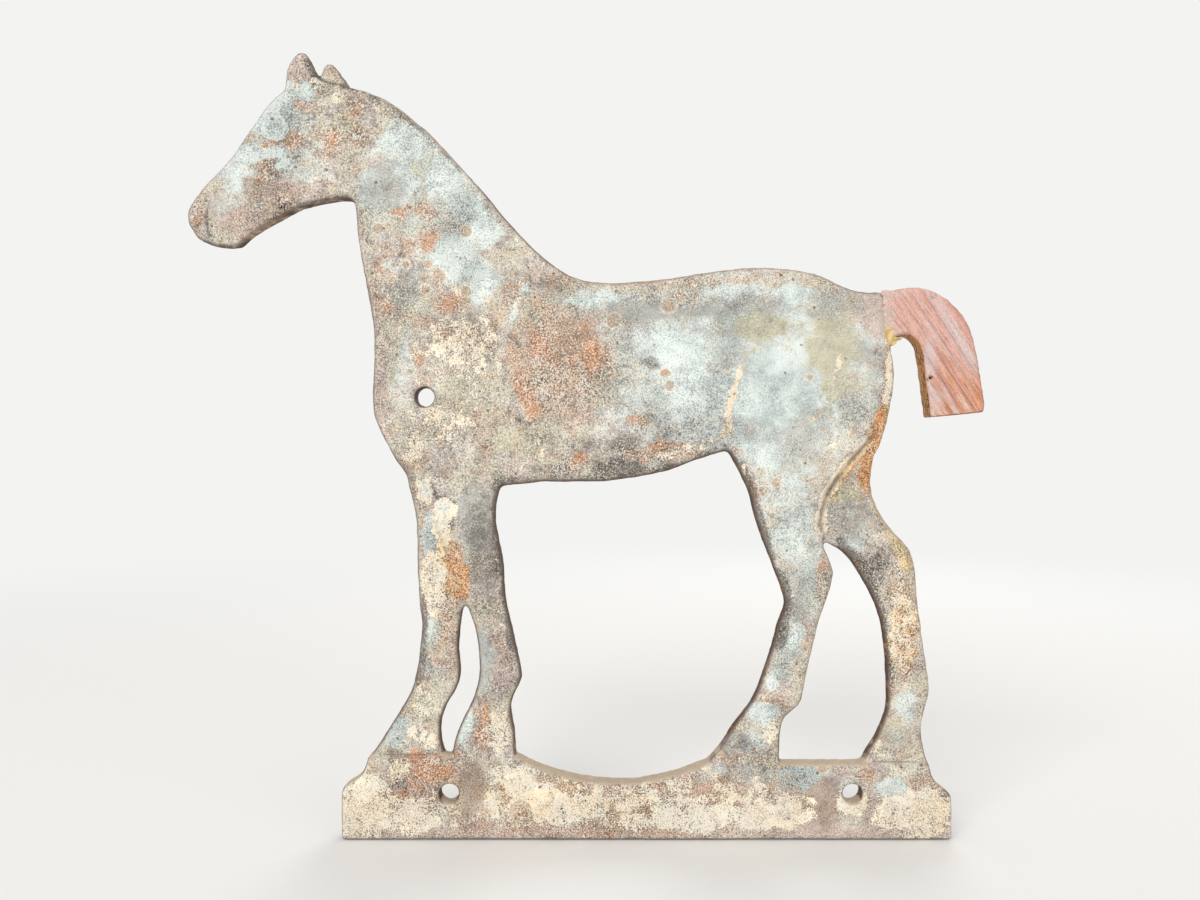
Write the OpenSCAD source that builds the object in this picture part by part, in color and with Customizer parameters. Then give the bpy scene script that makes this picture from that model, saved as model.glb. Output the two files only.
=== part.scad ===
// Horse-shaped counterweight of a windmill: one flat iron casting, with a carved wooden tail that is
// pinned and glued to the stub of its dock.
// The horse stands along X with its nose towards -X. Y runs through the thickness, and the show side
// faces -Y. Z is up. The origin is the middle of the base's underside. Lengths are in millimetres.

/* [Base] */
// Length of the base
base_len = 325; // [300:1:350]
// Thickness of the base
base_t = 11; // [9:0.5:16]
// Height of the base under the forefeet
fore_ground = 44.5; // [40:0.5:55]
// Height of the base under the hind feet
hind_ground = 40.5; // [38:0.5:55]
// Depth of the hollow in the top of the base, between the near feet
saddle_depth = 12; // [0:0.5:16]
// Height of the front end of the base
front_end_h = 29.5; // [24:0.5:36]
// Height of the rear end of the base
rear_end_h = 26.5; // [20:0.5:34]
// Run of the cove from the front end up to the forefeet
front_run = 14; // [8:0.5:16]
// Run of the cove from the rear end up to the hind feet
rear_run = 12; // [8:0.5:16]
// Radius of the upper corner of each end
end_r = 5; // [2:0.5:8]
// Width of the rounded edges of the base
base_edge = 1.5; // [0.5:0.1:2.5]

/* [Holes] */
// Diameter of the two bolt holes in the base
bolt_hole_d = 10.5; // [6:0.1:14]
// Height of the bolt holes above the underside
bolt_hole_z = 24.5; // [14:0.5:26]
// Distance of the front bolt hole from the front end of the base
front_hole_inset = 57.5; // [30:0.5:80]
// Distance of the rear bolt hole from the rear end of the base
rear_hole_inset = 53; // [30:0.5:80]
// Diameter of the hole in the chest
chest_hole_d = 10.3; // [6:0.1:16]
// Distance of the chest hole behind the front of the breast
chest_hole_inset = 28; // [20:0.5:40]
// Height of the chest hole above the belly
chest_hole_rise = 45.5; // [35:0.5:60]

/* [Horse] */
// Distance from the front end of the base to the middle of the forelegs
fore_set = 62.5; // [56:0.5:68]
// Distance from the rear end of the base to the middle of the hind legs
hind_set = 52.5; // [48:0.5:60]
// Height of the belly above the forefeet
leg_len = 145.5; // [125:0.5:165]
// Width of a leg at the cannon
cannon_w = 20; // [18:0.2:22]
// Depth of the barrel from the back to the belly
barrel_depth = 106.5; // [95:0.5:118]
// Length of the neck from the withers to the poll, measured along X
neck_run = 119; // [100:1:135]
// Height of the poll above the withers
neck_rise = 101; // [85:1:120]
// Length of the head from the poll to the nose
head_len = 110; // [95:1:125]
// Height of the near ear above the poll
near_ear_h = 18.5; // [12:0.5:24]
// Height of the far ear above the poll
far_ear_h = 14; // [8:0.5:18]
// Diameter of each eye
eye_d = 11; // [8:0.5:14]
// Height of each eye above the side of the head
eye_h = 0.9; // [0.5:0.1:1.5]

/* [Casting] */
// Thickness of the barrel
body_t = 11.6; // [9:0.1:16]
// Thickness of each leg
leg_t = 9.6; // [8:0.1:14]
// Distance that the near legs stand towards the show side, and the far legs towards the back
leg_shift = 0.6; // [0.3:0.1:1.2]
// Thickness of each ear
ear_t = 5.8; // [4:0.1:8]
// Distance that each ear stands to its side of the head
ear_shift = 2.3; // [1:0.1:3]
// Width of the rounded edges, seen from the side
edge_w = 4.5; // [2:0.1:6]
// Depth of the rounded edges, through the thickness
edge_d = 3; // [1:0.1:3.6]

/* [Tail] */
// Thickness of the tail
tail_t = 13; // [11:0.5:16]
// Reach of the tail behind the top of its seat
tail_reach = 53; // [46:0.5:60]
// Drop of the tail's end below the top of its seat
tail_drop = 67; // [58:0.5:76]
// Width of the tail at its end
tail_w = 29; // [25:0.5:32]
// Height of the seat on the dock
dock_h = 26.5; // [22:0.5:30]
// Lean of the seat from upright, in degrees
dock_lean = 6.5; // [0:0.5:12]
// Width of the tail's rounded edges
tail_edge = 2; // [1:0.1:3]
// Depth of the carved grooves
groove_depth = 0.6; // [0.3:0.1:1.2]
// Width of the carved grooves
groove_w = 1.6; // [1:0.1:2.4]
// Slope of the carved grooves, in degrees below level
groove_slope = 57; // [45:1:70]
// Distance between neighbouring grooves
groove_pitch = 5.6; // [3.5:0.1:7]

/* [Tail joint] */
// Diameter of the two pins across the joint
pin_d = 4; // [3:0.1:5]
// Length of each pin
pin_len = 26; // [18:0.5:30]
// Distance between the two pins
pin_gap = 11; // [9:0.5:13]
// Gap around each pin in its hole
pin_clear = 0.1; // [0.05:0.05:0.2]
// Thickness of the glue film
glue_t = 0.6; // [0.3:0.1:1]
// Radius of the bead of glue under the joint
bead_r = 2.6; // [1.6:0.1:3.2]
// Length of the bead of glue, through the thickness
bead_len = 8; // [4:0.5:10]

/* [Hidden] */

iron_colour = "lightgray";
wood_colour = "indianred";
steel_colour = "gray";
glue_colour = "khaki";

// Segments of round forms, sections between two stations of a loft, and steps of a rounded edge
round_fn = 48;
loft_steps = 2;
edge_steps = 3;
// Length that a foot runs down into the base, and that a cut runs past a face
run_out = 8;

// Units of the tables: a hundredth of the barrel's depth for the trunk, and a twentieth of the
// cannon's width for the legs
trunk_unit = barrel_depth / 100;
leg_unit = cannon_w / 20;

// Main places along the horse
front_x = -base_len / 2;
rear_x = base_len / 2;
fore_x = front_x + fore_set;
hind_x = rear_x - hind_set;
belly_z = fore_ground + leg_len;
back_z = belly_z + barrel_depth;
hind_len = belly_z - hind_ground;
withers = [fore_x, back_z] + trunk_unit * [55.4, 3.8];
poll = withers + [-neck_run, neck_rise];
throat = poll + head_len * [0.045, -0.582];
eye = poll + head_len * [-0.36, -0.195];
breast = [fore_x, belly_z] + trunk_unit * [-43.2, 49.8];
chest_hole = [breast.x + chest_hole_inset, belly_z + chest_hole_rise];
hoof_share = 1;

// Seat of the tail: its top, its way down, its way out and its foot
seat_top = [hind_x, back_z] + trunk_unit * [15.5, -4.4];
seat_down = [sin(dock_lean), -cos(dock_lean)];
seat_out = [cos(dock_lean), sin(dock_lean)];
seat_low = seat_top + dock_h * seat_down;
dock_share = 0.95;

function mix(a, b, u) = a + (b - a) * u;

// Point at u between b and c on a smooth curve through a, b, c and d
function on_curve(a, b, c, d, u) =
    b + (c - a) * u / 2
    + (2 * a - 5 * b + 4 * c - d) * u * u / 2
    + (3 * b - 3 * c + d - a) * u * u * u / 2;

// Stations with smooth sections filled in between them
function filled(stations) =
    let (last = len(stations) - 1)
    [
        for (i = [0:last - 1], k = [0:loft_steps - 1])
            on_curve(
                stations[max(i - 1, 0)], stations[i],
                stations[i + 1], stations[min(i + 2, last)], k / loft_steps
            ),
        stations[last]
    ];

// Section of a flat bar with rounded edges, from the station's first point to its second.
// A station is [x1, z1, x2, z2, share]: two points in side view and a share of the thickness.
function section(s, thick, shift, width, depth) =
    let (
        a = [s[0], s[1]],
        b = [s[2], s[3]],
        long = norm(b - a),
        half = thick * s[4] / 2,
        w = min(width, long * 0.48),
        d = min(depth, half * 0.9),
        start = [
            for (k = [0:edge_steps])
                let (turn = 90 * k / edge_steps)
                [w * (1 - cos(turn)), half - d + d * sin(turn)]
        ],
        upper = concat(start, [for (k = [edge_steps:-1:0]) [long - start[k].x, start[k].y]]),
        ring = concat(upper, [for (k = [len(upper) - 1:-1:0]) [upper[k].x, -upper[k].y]])
    )
    [
        for (p = ring)
            let (q = mix(a, b, p.x / long))
            [q.x, p.y + shift, q.y]
    ];

// Solid through a list of rings that have the same number of points
module loft(rings) {
    n = len(rings[0]);
    last = len(rings) - 1;
    polyhedron(
        points = [for (r = rings) each r],
        faces = concat(
            [[for (k = [n - 1:-1:0]) k]],
            [
                for (i = [0:last - 1], k = [0:n - 1])
                    let (m = (k + 1) % n)
                    each [
                        [i * n + k, (i + 1) * n + m, (i + 1) * n + k],
                        [i * n + k, i * n + m, (i + 1) * n + m]
                    ]
            ],
            [[for (k = [0:n - 1]) last * n + k]]
        )
    );
}

// Bar with rounded edges that follows a list of stations
module bar(stations, thick, shift = 0, width = edge_w, depth = edge_d) {
    loft([for (s = filled(stations)) section(s, thick, shift, width, depth)]);
}

// Round hole through the thickness at a point of the side view
module cross_hole(at, d) {
    translate([at.x, 0, at.y])
        rotate([90, 0, 0])
            cylinder(d = d, h = max(base_t, body_t) + 2 * run_out, center = true, $fn = round_fn);
}

// Head: stations from the nose to the poll, in head lengths from the poll, with the face first and
// the jaw second
head_shape = [
    [-0.770, -0.668, -0.722, -0.742, 0.55],
    [-0.776, -0.610, -0.630, -0.778, 0.78],
    [-0.732, -0.530, -0.524, -0.780, 0.84],
    [-0.650, -0.440, -0.460, -0.722, 0.86],
    [-0.550, -0.332, -0.352, -0.660, 0.88],
    [-0.448, -0.182, -0.225, -0.590, 0.90],
    [-0.336, -0.044, -0.090, -0.560, 0.91],
    [-0.167, 0.028, 0.012, -0.548, 0.92],
    [0, 0, 0.045, -0.582, 0.92]
];
head_line = [
    for (s = head_shape)
        [
            poll.x + head_len * s[0], poll.y + head_len * s[1],
            poll.x + head_len * s[2], poll.y + head_len * s[3], s[4]
        ]
];

// Neck: shares of the run and rise from the withers to the poll for the crest, and the share of the
// way from the breast to the throat, with the hollow there in trunk units, for the underside
neck_shape = [
    [0.83, 0.935, 0.81, -0.5, 0.92],
    [0.64, 0.765, 0.62, 0.9, 0.93],
    [0.50, 0.59, 0.44, 2.3, 0.94],
    [0.37, 0.42, 0.23, 2.8, 0.95],
    [0.25, 0.25, 0, 0, 0.96]
];
neck_line = [
    for (s = neck_shape)
        let (under = mix(breast, throat, s[2]))
        [
            withers.x - neck_run * s[0], withers.y + neck_rise * s[1],
            under.x + trunk_unit * s[3], under.y, s[4]
        ]
];

// Trunk: a row is [upper reach, upper rise, lower reach, lower rise, share], in trunk units from an
// upper place and a lower one
function trunk_station(upper, lower, row) =
    let (
        a = upper + trunk_unit * [row[0], row[1]],
        b = lower + trunk_unit * [row[2], row[3]]
    )
    [a.x, a.y, b.x, b.y, row[4]];

// Shoulder, from the back and the belly over the forelegs
shoulder_shape = [
    [42.3, 12.7, -42.5, 33.3, 0.97],
    [55.4, 3.8, -35.7, 18.8, 0.98],
    [65.7, 0.9, -26.8, 4.7, 0.99],
    [77, 0, -11.3, -1.9, 1],
    [86.4, 0.4, 18.8, -1.9, 1]
];
// Loin and croup, from the back and the belly over the hind legs
croup_shape = [
    [-54.5, 7.5, -63.8, 16, 1],
    [-37.6, 7.5, -35.7, 7.5, 1],
    [-20.7, 5.1, -9.4, 0, 1],
    [-6.6, -0.8, 8.1, 8.5, 0.99],
    [2.8, -4.1, 16.9, 29.1, 0.98]
];
// Dock, from the top and the foot of the seat
dock_shape = [
    [-7, -0.4, 2.3, -18.3, 0.97],
    [-3.3, -0.2, 1.1, -7, 0.96],
    [0, 0, 0, 0, dock_share]
];
shoulder_line = [for (r = shoulder_shape) trunk_station([fore_x, back_z], [fore_x, belly_z], r)];
croup_line = [for (r = croup_shape) trunk_station([hind_x, back_z], [hind_x, belly_z], r)];
dock_line = [for (r = dock_shape) trunk_station(seat_top, seat_low, r)];

// Barrel, between the last of the shoulder and the first of the croup: the share of the way along the
// back, the rise there, the share along the belly and the rise there
barrel_shape = [
    [0.17, 1.2, 0.2, 0.5],
    [0.37, 2.5, 0.47, 0.7],
    [0.63, 5, 0.74, 5.6]
];
barrel_from = shoulder_line[len(shoulder_line) - 1];
barrel_to = croup_line[0];
barrel_line = [
    for (r = barrel_shape)
        [
            mix(barrel_from[0], barrel_to[0], r[0]), back_z + trunk_unit * r[1],
            mix(barrel_from[2], barrel_to[2], r[2]), belly_z + trunk_unit * r[3], 1
        ]
];

// Legs: stations from the body down to the foot. A row is [front offset, rear offset, height, share],
// with offsets in leg units from the middle of the pair, and the height in leg lengths above the foot.
near_fore_shape = [
    [-8, 40, 1.45, 0.92],
    [-13, 35, 1.26, 1.02],
    [-17, 28, 1.10, 1.12],
    [-16, 21.5, 0.98, 1.14],
    [-10.5, 19.3, 0.86, 1.1],
    [-4.5, 23, 0.725, 1.05],
    [3, 25, 0.567, 1.02],
    [8.8, 28.3, 0.464, 1],
    [10.5, 32, 0.354, 1],
    [10.4, 33.4, 0.285, 1],
    [8.2, 29.4, 0.223, 1],
    [4.6, 27.6, 0.168, 1],
    [-0.3, 29.5, 0.093, 1],
    [-3.3, 30.2, 0.024, hoof_share]
];
far_fore_shape = [
    [-31, 0, 1.34, 0.92],
    [-30.5, 6, 1.20, 1.04],
    [-29.5, 10, 1.07, 1.12],
    [-26, 12, 0.96, 1.14],
    [-23, 12, 0.85, 1.1],
    [-22.4, 9, 0.71, 1.05],
    [-21.6, 2.7, 0.567, 1.02],
    [-20.1, 0.4, 0.478, 1],
    [-21.4, -0.3, 0.381, 1],
    [-23.2, 0.6, 0.299, 1],
    [-25.5, -2, 0.237, 1],
    [-30, -7, 0.182, 1],
    [-35.6, -10, 0.12, 1],
    [-41.2, -9.8, 0.058, 1],
    [-46.5, -8, 0.003, hoof_share]
];
near_hind_shape = [
    [-56, 6, 1.62, 0.9],
    [-60.5, 12, 1.42, 1.03],
    [-66.5, 15.5, 1.28, 1.13],
    [-69, 13, 1.18, 1.2],
    [-66.5, 3, 1.115, 1.22],
    [-60.8, -6.5, 1.047, 1.2],
    [-55.8, -14.5, 0.973, 1.16],
    [-52.8, -18.6, 0.90, 1.12],
    [-49.4, -18.6, 0.825, 1.08],
    [-44.8, -13.4, 0.744, 1.05],
    [-41, -10.2, 0.677, 1.03],
    [-37.5, -12.5, 0.609, 1.02],
    [-36.3, -15, 0.562, 1.01],
    [-40, -18.2, 0.495, 1],
    [-43, -21.2, 0.414, 1],
    [-47.5, -24.2, 0.327, 1],
    [-51.2, -26.4, 0.253, 1],
    [-55.5, -28.8, 0.205, 1],
    [-60, -36, 0.165, 1],
    [-66, -38.5, 0.111, 1],
    [-71, -38.8, 0.057, 1],
    [-78, -39.2, 0.003, hoof_share]
];
far_hind_shape = [
    [-8, 14, 1.24, 0.9],
    [-14, 12.5, 1.12, 1.04],
    [-20, 9.6, 1.0, 1.12],
    [-24, 13.5, 0.905, 1.12],
    [-22.5, 22.5, 0.82, 1.08],
    [-6, 31, 0.76, 1.04],
    [3.5, 34, 0.68, 1],
    [11.5, 35, 0.583, 1],
    [16, 36.8, 0.492, 1],
    [18.3, 39.2, 0.374, 1],
    [19, 41.6, 0.262, 1],
    [18.7, 39.6, 0.199, 1],
    [16, 37, 0.136, 1],
    [11, 37.8, 0.071, 1],
    [6, 39.5, 0.012, hoof_share]
];

function leg_line(shape, x, ground, height) =
    let (
        down = [
            for (s = shape)
                let (z = ground + height * s[2])
                [x + leg_unit * s[1], z, x + leg_unit * s[0], z, s[3]]
        ],
        foot = down[len(down) - 1]
    )
    concat(down, [[foot[0], ground - run_out, foot[2], ground - run_out, hoof_share]]);

// Ears: stations from root to tip, as front and rear offsets from the poll in head lengths, and shares
// of the height
near_ear_shape = [
    [-0.305, -0.1, -0.35],
    [-0.3, -0.123, 0.1],
    [-0.291, -0.15, 0.5],
    [-0.265, -0.173, 0.8],
    [-0.232, -0.205, 1]
];
far_ear_shape = [
    [-0.145, 0.045, -0.4],
    [-0.145, -0.005, 0.25],
    [-0.138, -0.036, 0.6],
    [-0.124, -0.064, 0.9],
    [-0.109, -0.085, 1]
];
ear_taper = 0.35;

function ear_line(shape, height) =
    [
        for (s = shape)
            let (z = poll.y + height * s[2])
            [poll.x + head_len * s[0], z, poll.x + head_len * s[1], z, 1 - ear_taper * s[2]]
    ];

// Base: height of its top at a distance from an end, with a round corner and then a cove
function end_top(from_end, end_h, run, ground) =
    let (
        cove = sqrt(max(0, 1 - pow(min(from_end / run, 1), 2))),
        corner = from_end < end_r ? end_r - sqrt(pow(end_r, 2) - pow(end_r - from_end, 2)) : 0
    )
    ground - (ground - end_h) * cove - corner;

corner_turns = [0, 30, 60];
cove_turns = [22, 35, 50, 62, 73, 82, 90];
function end_stops(run) =
    concat(
        [for (t = corner_turns) end_r * (1 - cos(t))],
        [for (t = cove_turns) if (run * sin(t) > end_r * (1 - cos(60))) run * sin(t)]
    );
saddle_from = fore_x + leg_unit * 30;
saddle_to = hind_x - leg_unit * 79;
saddle_steps = 14;

module base_flange() {
    fore_end = [
        for (d = end_stops(front_run))
            [front_x + d, end_top(d, front_end_h, front_run, fore_ground)]
    ];
    saddle = [
        for (k = [0:saddle_steps])
            let (u = k / saddle_steps)
            [
                mix(saddle_from, saddle_to, u),
                mix(fore_ground, hind_ground, u) - saddle_depth * 4 * u * (1 - u)
            ]
    ];
    rear_stops = end_stops(rear_run);
    hind_end = [
        for (k = [len(rear_stops) - 1:-1:0])
            [rear_x - rear_stops[k], end_top(rear_stops[k], rear_end_h, rear_run, hind_ground)]
    ];
    loft([
        for (p = concat(fore_end, saddle, hind_end))
            section([p.x, p.y, p.x, 0, 1], base_t, 0, base_edge, base_edge)
    ]);
}

// Row of pins, or of holes for them, square to the seat and centred on it
module pin_row(d, length) {
    middle = mix(seat_top, seat_low, 0.5) + seat_out * glue_t / 2;
    for (side = [-1, 1]) {
        at = middle + seat_down * side * pin_gap / 2;
        translate([at.x, 0, at.y])
            rotate([0, 90 - dock_lean, 0])
                cylinder(d = d, h = length, center = true, $fn = round_fn);
    }
}

module pin_holes() {
    pin_row(pin_d + 2 * pin_clear, pin_len + 2 * pin_clear);
}

module trunk() {
    bar(
        concat(head_line, neck_line, shoulder_line, barrel_line, croup_line, dock_line),
        body_t
    );
}

// Eyes: a low dome on each side of the head
eye_r = (pow(eye_d / 2, 2) + pow(eye_h, 2)) / (2 * eye_h);
eye_share = 0.907;

module eyes() {
    for (side = [-1, 1])
        translate([eye.x, side * body_t * eye_share / 2, eye.y])
            rotate([-90 * side, 0, 0])
                intersection() {
                    translate([0, 0, eye_h - eye_r])
                        sphere(r = eye_r, $fn = round_fn / 2);
                    cylinder(d = eye_d, h = 2 * edge_d, center = true, $fn = round_fn / 2);
                }
}

module horse_casting() {
    color(iron_colour)
        difference() {
            union() {
                trunk();
                bar(leg_line(near_fore_shape, fore_x, fore_ground, leg_len), leg_t, -leg_shift);
                bar(leg_line(far_fore_shape, fore_x, fore_ground, leg_len), leg_t, leg_shift);
                bar(leg_line(near_hind_shape, hind_x, hind_ground, hind_len), leg_t, -leg_shift);
                bar(leg_line(far_hind_shape, hind_x, hind_ground, hind_len), leg_t, leg_shift);
                bar(ear_line(near_ear_shape, near_ear_h), ear_t, -ear_shift);
                bar(ear_line(far_ear_shape, far_ear_h), ear_t, ear_shift);
                eyes();
                base_flange();
            }
            cross_hole([front_x + front_hole_inset, bolt_hole_z], bolt_hole_d);
            cross_hole([rear_x - rear_hole_inset, bolt_hole_z], bolt_hole_d);
            cross_hole(chest_hole, chest_hole_d);
            pin_holes();
        }
}

// Tail: stations from the seat to the end. A row is [outer reach, outer drop, inner reach, inner drop,
// share]: shares of the tail's reach and drop for its outer edge, and of the way from the foot of the
// seat to the inner corner of the end for its inner edge.
tail_shape = [
    [0.12, -0.012, 0.19, -0.06, 0.90],
    [0.255, -0.03, 0.41, -0.07, 0.95],
    [0.405, -0.02, 0.60, -0.025, 1],
    [0.566, 0.036, 0.74, 0.075, 1],
    [0.726, 0.142, 0.81, 0.26, 1],
    [0.849, 0.289, 0.86, 0.46, 1],
    [0.925, 0.52, 0.91, 0.63, 1],
    [0.972, 0.76, 0.95, 0.79, 1],
    [1, 0.91, 0.98, 0.92, 1],
    [0.978, 0.96, 1, 1, 0.97]
];
tail_end_x = seat_top.x + tail_reach - tail_w;
tail_end_z = seat_top.y - tail_drop;
tail_seat_share = dock_share * body_t / tail_t;
tail_foot = seat_low + seat_out * glue_t;
tail_head = seat_top + seat_out * glue_t;
tail_line = concat(
    [[tail_head.x, tail_head.y, tail_foot.x, tail_foot.y, tail_seat_share]],
    [
        for (s = tail_shape)
            [
                seat_top.x + tail_reach * s[0], seat_top.y - tail_drop * s[1],
                mix(tail_foot.x, tail_end_x, s[2]), mix(tail_foot.y, tail_end_z, s[3]), s[4]
            ]
    ]
);
// A groove is a shallow cut by a round rod that lies along the face
groove_r = (pow(groove_w / 2, 2) + pow(groove_depth, 2)) / (2 * groove_depth);
groove_count = 5;
groove_middle = [seat_top.x + tail_reach * 0.507, seat_top.y - tail_drop * 0.478];

module tail_grooves() {
    for (face = [-1, 1], i = [0:groove_count - 1])
        translate([groove_middle.x, face * (tail_t / 2 + groove_r - groove_depth), groove_middle.y])
            rotate([0, 90 + groove_slope, 0])
                translate([groove_pitch * (i - (groove_count - 1) / 2), 0, 0])
                    cylinder(r = groove_r, h = 2 * tail_drop, center = true, $fn = round_fn);
}

module tail_blank() {
    bar(tail_line, tail_t, 0, tail_edge, tail_edge);
}

module tail() {
    color(wood_colour)
        difference() {
            tail_blank();
            tail_grooves();
            pin_holes();
        }
}

module tail_pins() {
    color(steel_colour)
        pin_row(pin_d, pin_len);
}

module tail_glue() {
    seat = [seat_top.x, seat_top.y, seat_low.x, seat_low.y, dock_share];
    film = section(seat, body_t, 0, edge_w, edge_d);
    bead_at = seat_low + seat_out * bead_r / 2;
    color(glue_colour) {
        difference() {
            loft([film, [for (p = film) p + glue_t * [seat_out.x, 0, seat_out.y]]]);
            pin_holes();
        }
        difference() {
            translate([bead_at.x, 0, bead_at.y])
                rotate([90, 0, 0])
                    cylinder(r = bead_r, h = bead_len, center = true, $fn = round_fn);
            trunk();
            tail_blank();
        }
    }
}

horse_casting();
tail();
tail_pins();
tail_glue();
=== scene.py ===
"""Windmill weight: a flat cast-iron horse with worn paint, and a wooden tail glued to its dock."""

import math
from typing import NamedTuple

import bmesh
import bpy
import numpy as np
from bpy.props import FloatProperty, FloatVectorProperty, IntProperty, PointerProperty
from mathutils import Matrix, Vector, noise


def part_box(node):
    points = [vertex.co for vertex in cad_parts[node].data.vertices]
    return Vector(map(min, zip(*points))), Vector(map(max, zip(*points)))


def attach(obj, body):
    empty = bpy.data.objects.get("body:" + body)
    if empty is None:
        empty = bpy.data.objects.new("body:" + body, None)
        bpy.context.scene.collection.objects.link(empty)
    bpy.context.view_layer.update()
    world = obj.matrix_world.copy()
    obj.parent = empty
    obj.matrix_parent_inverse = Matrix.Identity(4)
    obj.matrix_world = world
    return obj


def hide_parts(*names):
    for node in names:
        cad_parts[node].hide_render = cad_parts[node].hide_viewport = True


bl_info = {
    "name": "Windmill Weight",
    "version": (1, 0, 0),
    "blender": (4, 5, 0),
    "location": "View3D > Sidebar > Weight",
    "description": "Dresses a cast-iron horse with worn paint, rust and a carved wooden tail",
    "category": "Object",
}

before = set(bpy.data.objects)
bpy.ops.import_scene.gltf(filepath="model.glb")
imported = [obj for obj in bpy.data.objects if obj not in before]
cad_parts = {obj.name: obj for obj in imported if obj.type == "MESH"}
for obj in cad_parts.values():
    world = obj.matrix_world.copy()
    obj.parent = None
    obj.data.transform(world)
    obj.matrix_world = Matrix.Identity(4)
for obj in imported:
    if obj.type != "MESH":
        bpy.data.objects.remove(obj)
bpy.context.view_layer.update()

MM = 0.001
BODY = "root"
MERGE_DISTANCE = 0.001 * MM


def line_distance(x, z, points):
    """Distance in side view from each point to a line through several points."""
    best = np.full(len(x), np.inf)
    for (ax, az), (bx, bz) in zip(points, points[1:]):
        run = bx - ax
        rise = bz - az
        along = np.clip(((x - ax) * run + (z - az) * rise) / (run * run + rise * rise), 0, 1)
        best = np.minimum(best, np.hypot(x - ax - along * run, z - az - along * rise))
    return best


def smooth_step(low, high, value):
    """Soft step from 0 at low to 1 at high."""
    share = np.clip((value - low) / (high - low), 0, 1)
    return share * share * (3 - 2 * share)


def ring(x, z, half_width, half_height):
    """Points round an oval."""
    turns = [math.tau * step / 16 for step in range(17)]
    return tuple((x + half_width * math.cos(turn), z + half_height * math.sin(turn)) for turn in turns)


class Patch(NamedTuple):
    """A soft oval in side view, in millimetres. Its amount is a share of a finish, or a depth."""

    where: str
    x: float
    z: float
    half_width: float
    half_height: float
    amount: float

    def reach(self, x, z):
        """Distance from the middle, as a share of the oval."""
        return np.hypot((x - self.x) / self.half_width, (z - self.z) / self.half_height)


class Streak(NamedTuple):
    """A soft band along a line in side view, in millimetres. Its amount is a share, or a height."""

    where: str
    points: tuple
    half_width: float
    amount: float

    def reach(self, x, z):
        """Distance from the line, as a share of the band."""
        return line_distance(x, z, self.points) / self.half_width


class Fold(NamedTuple):
    """A line on the front face, from low to high, past which the metal is sunk, in millimetres."""

    where: str
    points: tuple
    side: int
    width: float
    depth: float

    def sink(self, x, z):
        """Height of the sunk metal, below 0, in millimetres."""
        across, heights = zip(*self.points)
        low, high = heights[0], heights[-1]
        beyond = (x - np.interp(z, heights, across)) * self.side
        ends = smooth_step(low - 8, low + 3, z) * smooth_step(high + 8, high - 4, z)
        brink = smooth_step(-1.0, 1.2, beyond)
        fade = smooth_step(self.width, 0.3 * self.width, beyond)
        return -self.depth * brink * fade * ends


class Lump(NamedTuple):
    """One size of noise: its height, its size in millimetres, and an offset that sets it apart."""

    height: float
    size: float
    offset: float

    def at(self, places):
        """Smooth noise of about minus to plus its height."""
        size = self.size * MM
        shift = Vector((self.offset, -self.offset, 2 * self.offset))
        return self.height * np.array([noise.noise(Vector(place) / size + shift) for place in places])


# Uneven cast skin, in shares of the height of the sand
SAND_LUMPS = (Lump(1.0, 14, 3.1), Lump(0.7, 6, 7.3), Lump(0.5, 2.8, 11.9))
# Shift of outlines along X and along Z, in millimetres, and its share for lines, spots and dust
OUTLINE_LUMPS = (
    (Lump(3.6, 11, 1.3), Lump(1.8, 4.5, 4.1)),
    (Lump(3.6, 11, 8.7), Lump(1.8, 4.5, 6.5)),
)
LINE_WARP = 0.25
SPOT_WARP = 0.32
DUST_WARP = 0.5

# Turn of a surface at which it starts to face a side, and at which it faces it in full
CAST_TURN = (0.3, 0.8)
TAIL_TURN = (0.5, 0.9)
SIDE_TURN = (0.2, 0.7)
# Share by which the flat faces of the casting are calmer than its edges
FACE_CALM = 0.35
# Height below which the foot of the base stays flat
FOOT_HEIGHT = 0.4 * MM
# Passes that soften the tail and the glue
SMALL_PIECE_SMOOTHING = 2
# Passes and depth that tell a hollow from the surface round it
CREASE_PASSES = 14
CREASE_DEPTH = 0.9 * MM
CARVED_PASSES = 10
CARVED_DEPTH = 0.3 * MM
# Heights, in millimetres, between which the painted light on the ledges fades, and its share under the jaw
BASE_LEDGES = (60, 52)
JAW_LEDGES = (308, 316)
JAW_LIGHT_SHARE = 0.4
# Edges of the primer on the dock, in millimetres from the front, the foot and the top of the glue
DOCK_FRONT = (-4.5, -1.0)
DOCK_FOOT = (5.0, 8.0)
DOCK_TOP = (1.5, 0.0)

# Carving of the tail, in millimetres, and the edges of its marks as shares
CARVING_SLOPE = math.radians(57)
FIBRE_STRETCH = 12.0
SCRATCH_GAP = 2.8
SCRATCH_WANDER = Lump(0.45, 9, 5.7)
SCRATCH_EDGE = (0.7, 1.0)
SCRATCH_FADE = Lump(1.0, 12, 9.1)
SCRATCH_BREAK = (-0.1, 0.35)
WOOD_LUMPS = Lump(0.12, 3, 2.3)
ROUGH_SIDES = 1.5
HOLE_EDGE = (1.1, 0.5)
NICK_EDGE = (1.2, 0.6)
WORN_HEIGHTS = (0.8, 0.0)
SEAM_DUST = (0.3, 0.0)
WORM_HOLE = Patch("worm hole in the tail", 150.1, 245.6, 0.9, 0.9, 1.2)
NICK = Patch("nick in the tail's top edge", 151.7, 289.4, 1.3, 2.4, 0.6)

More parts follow.
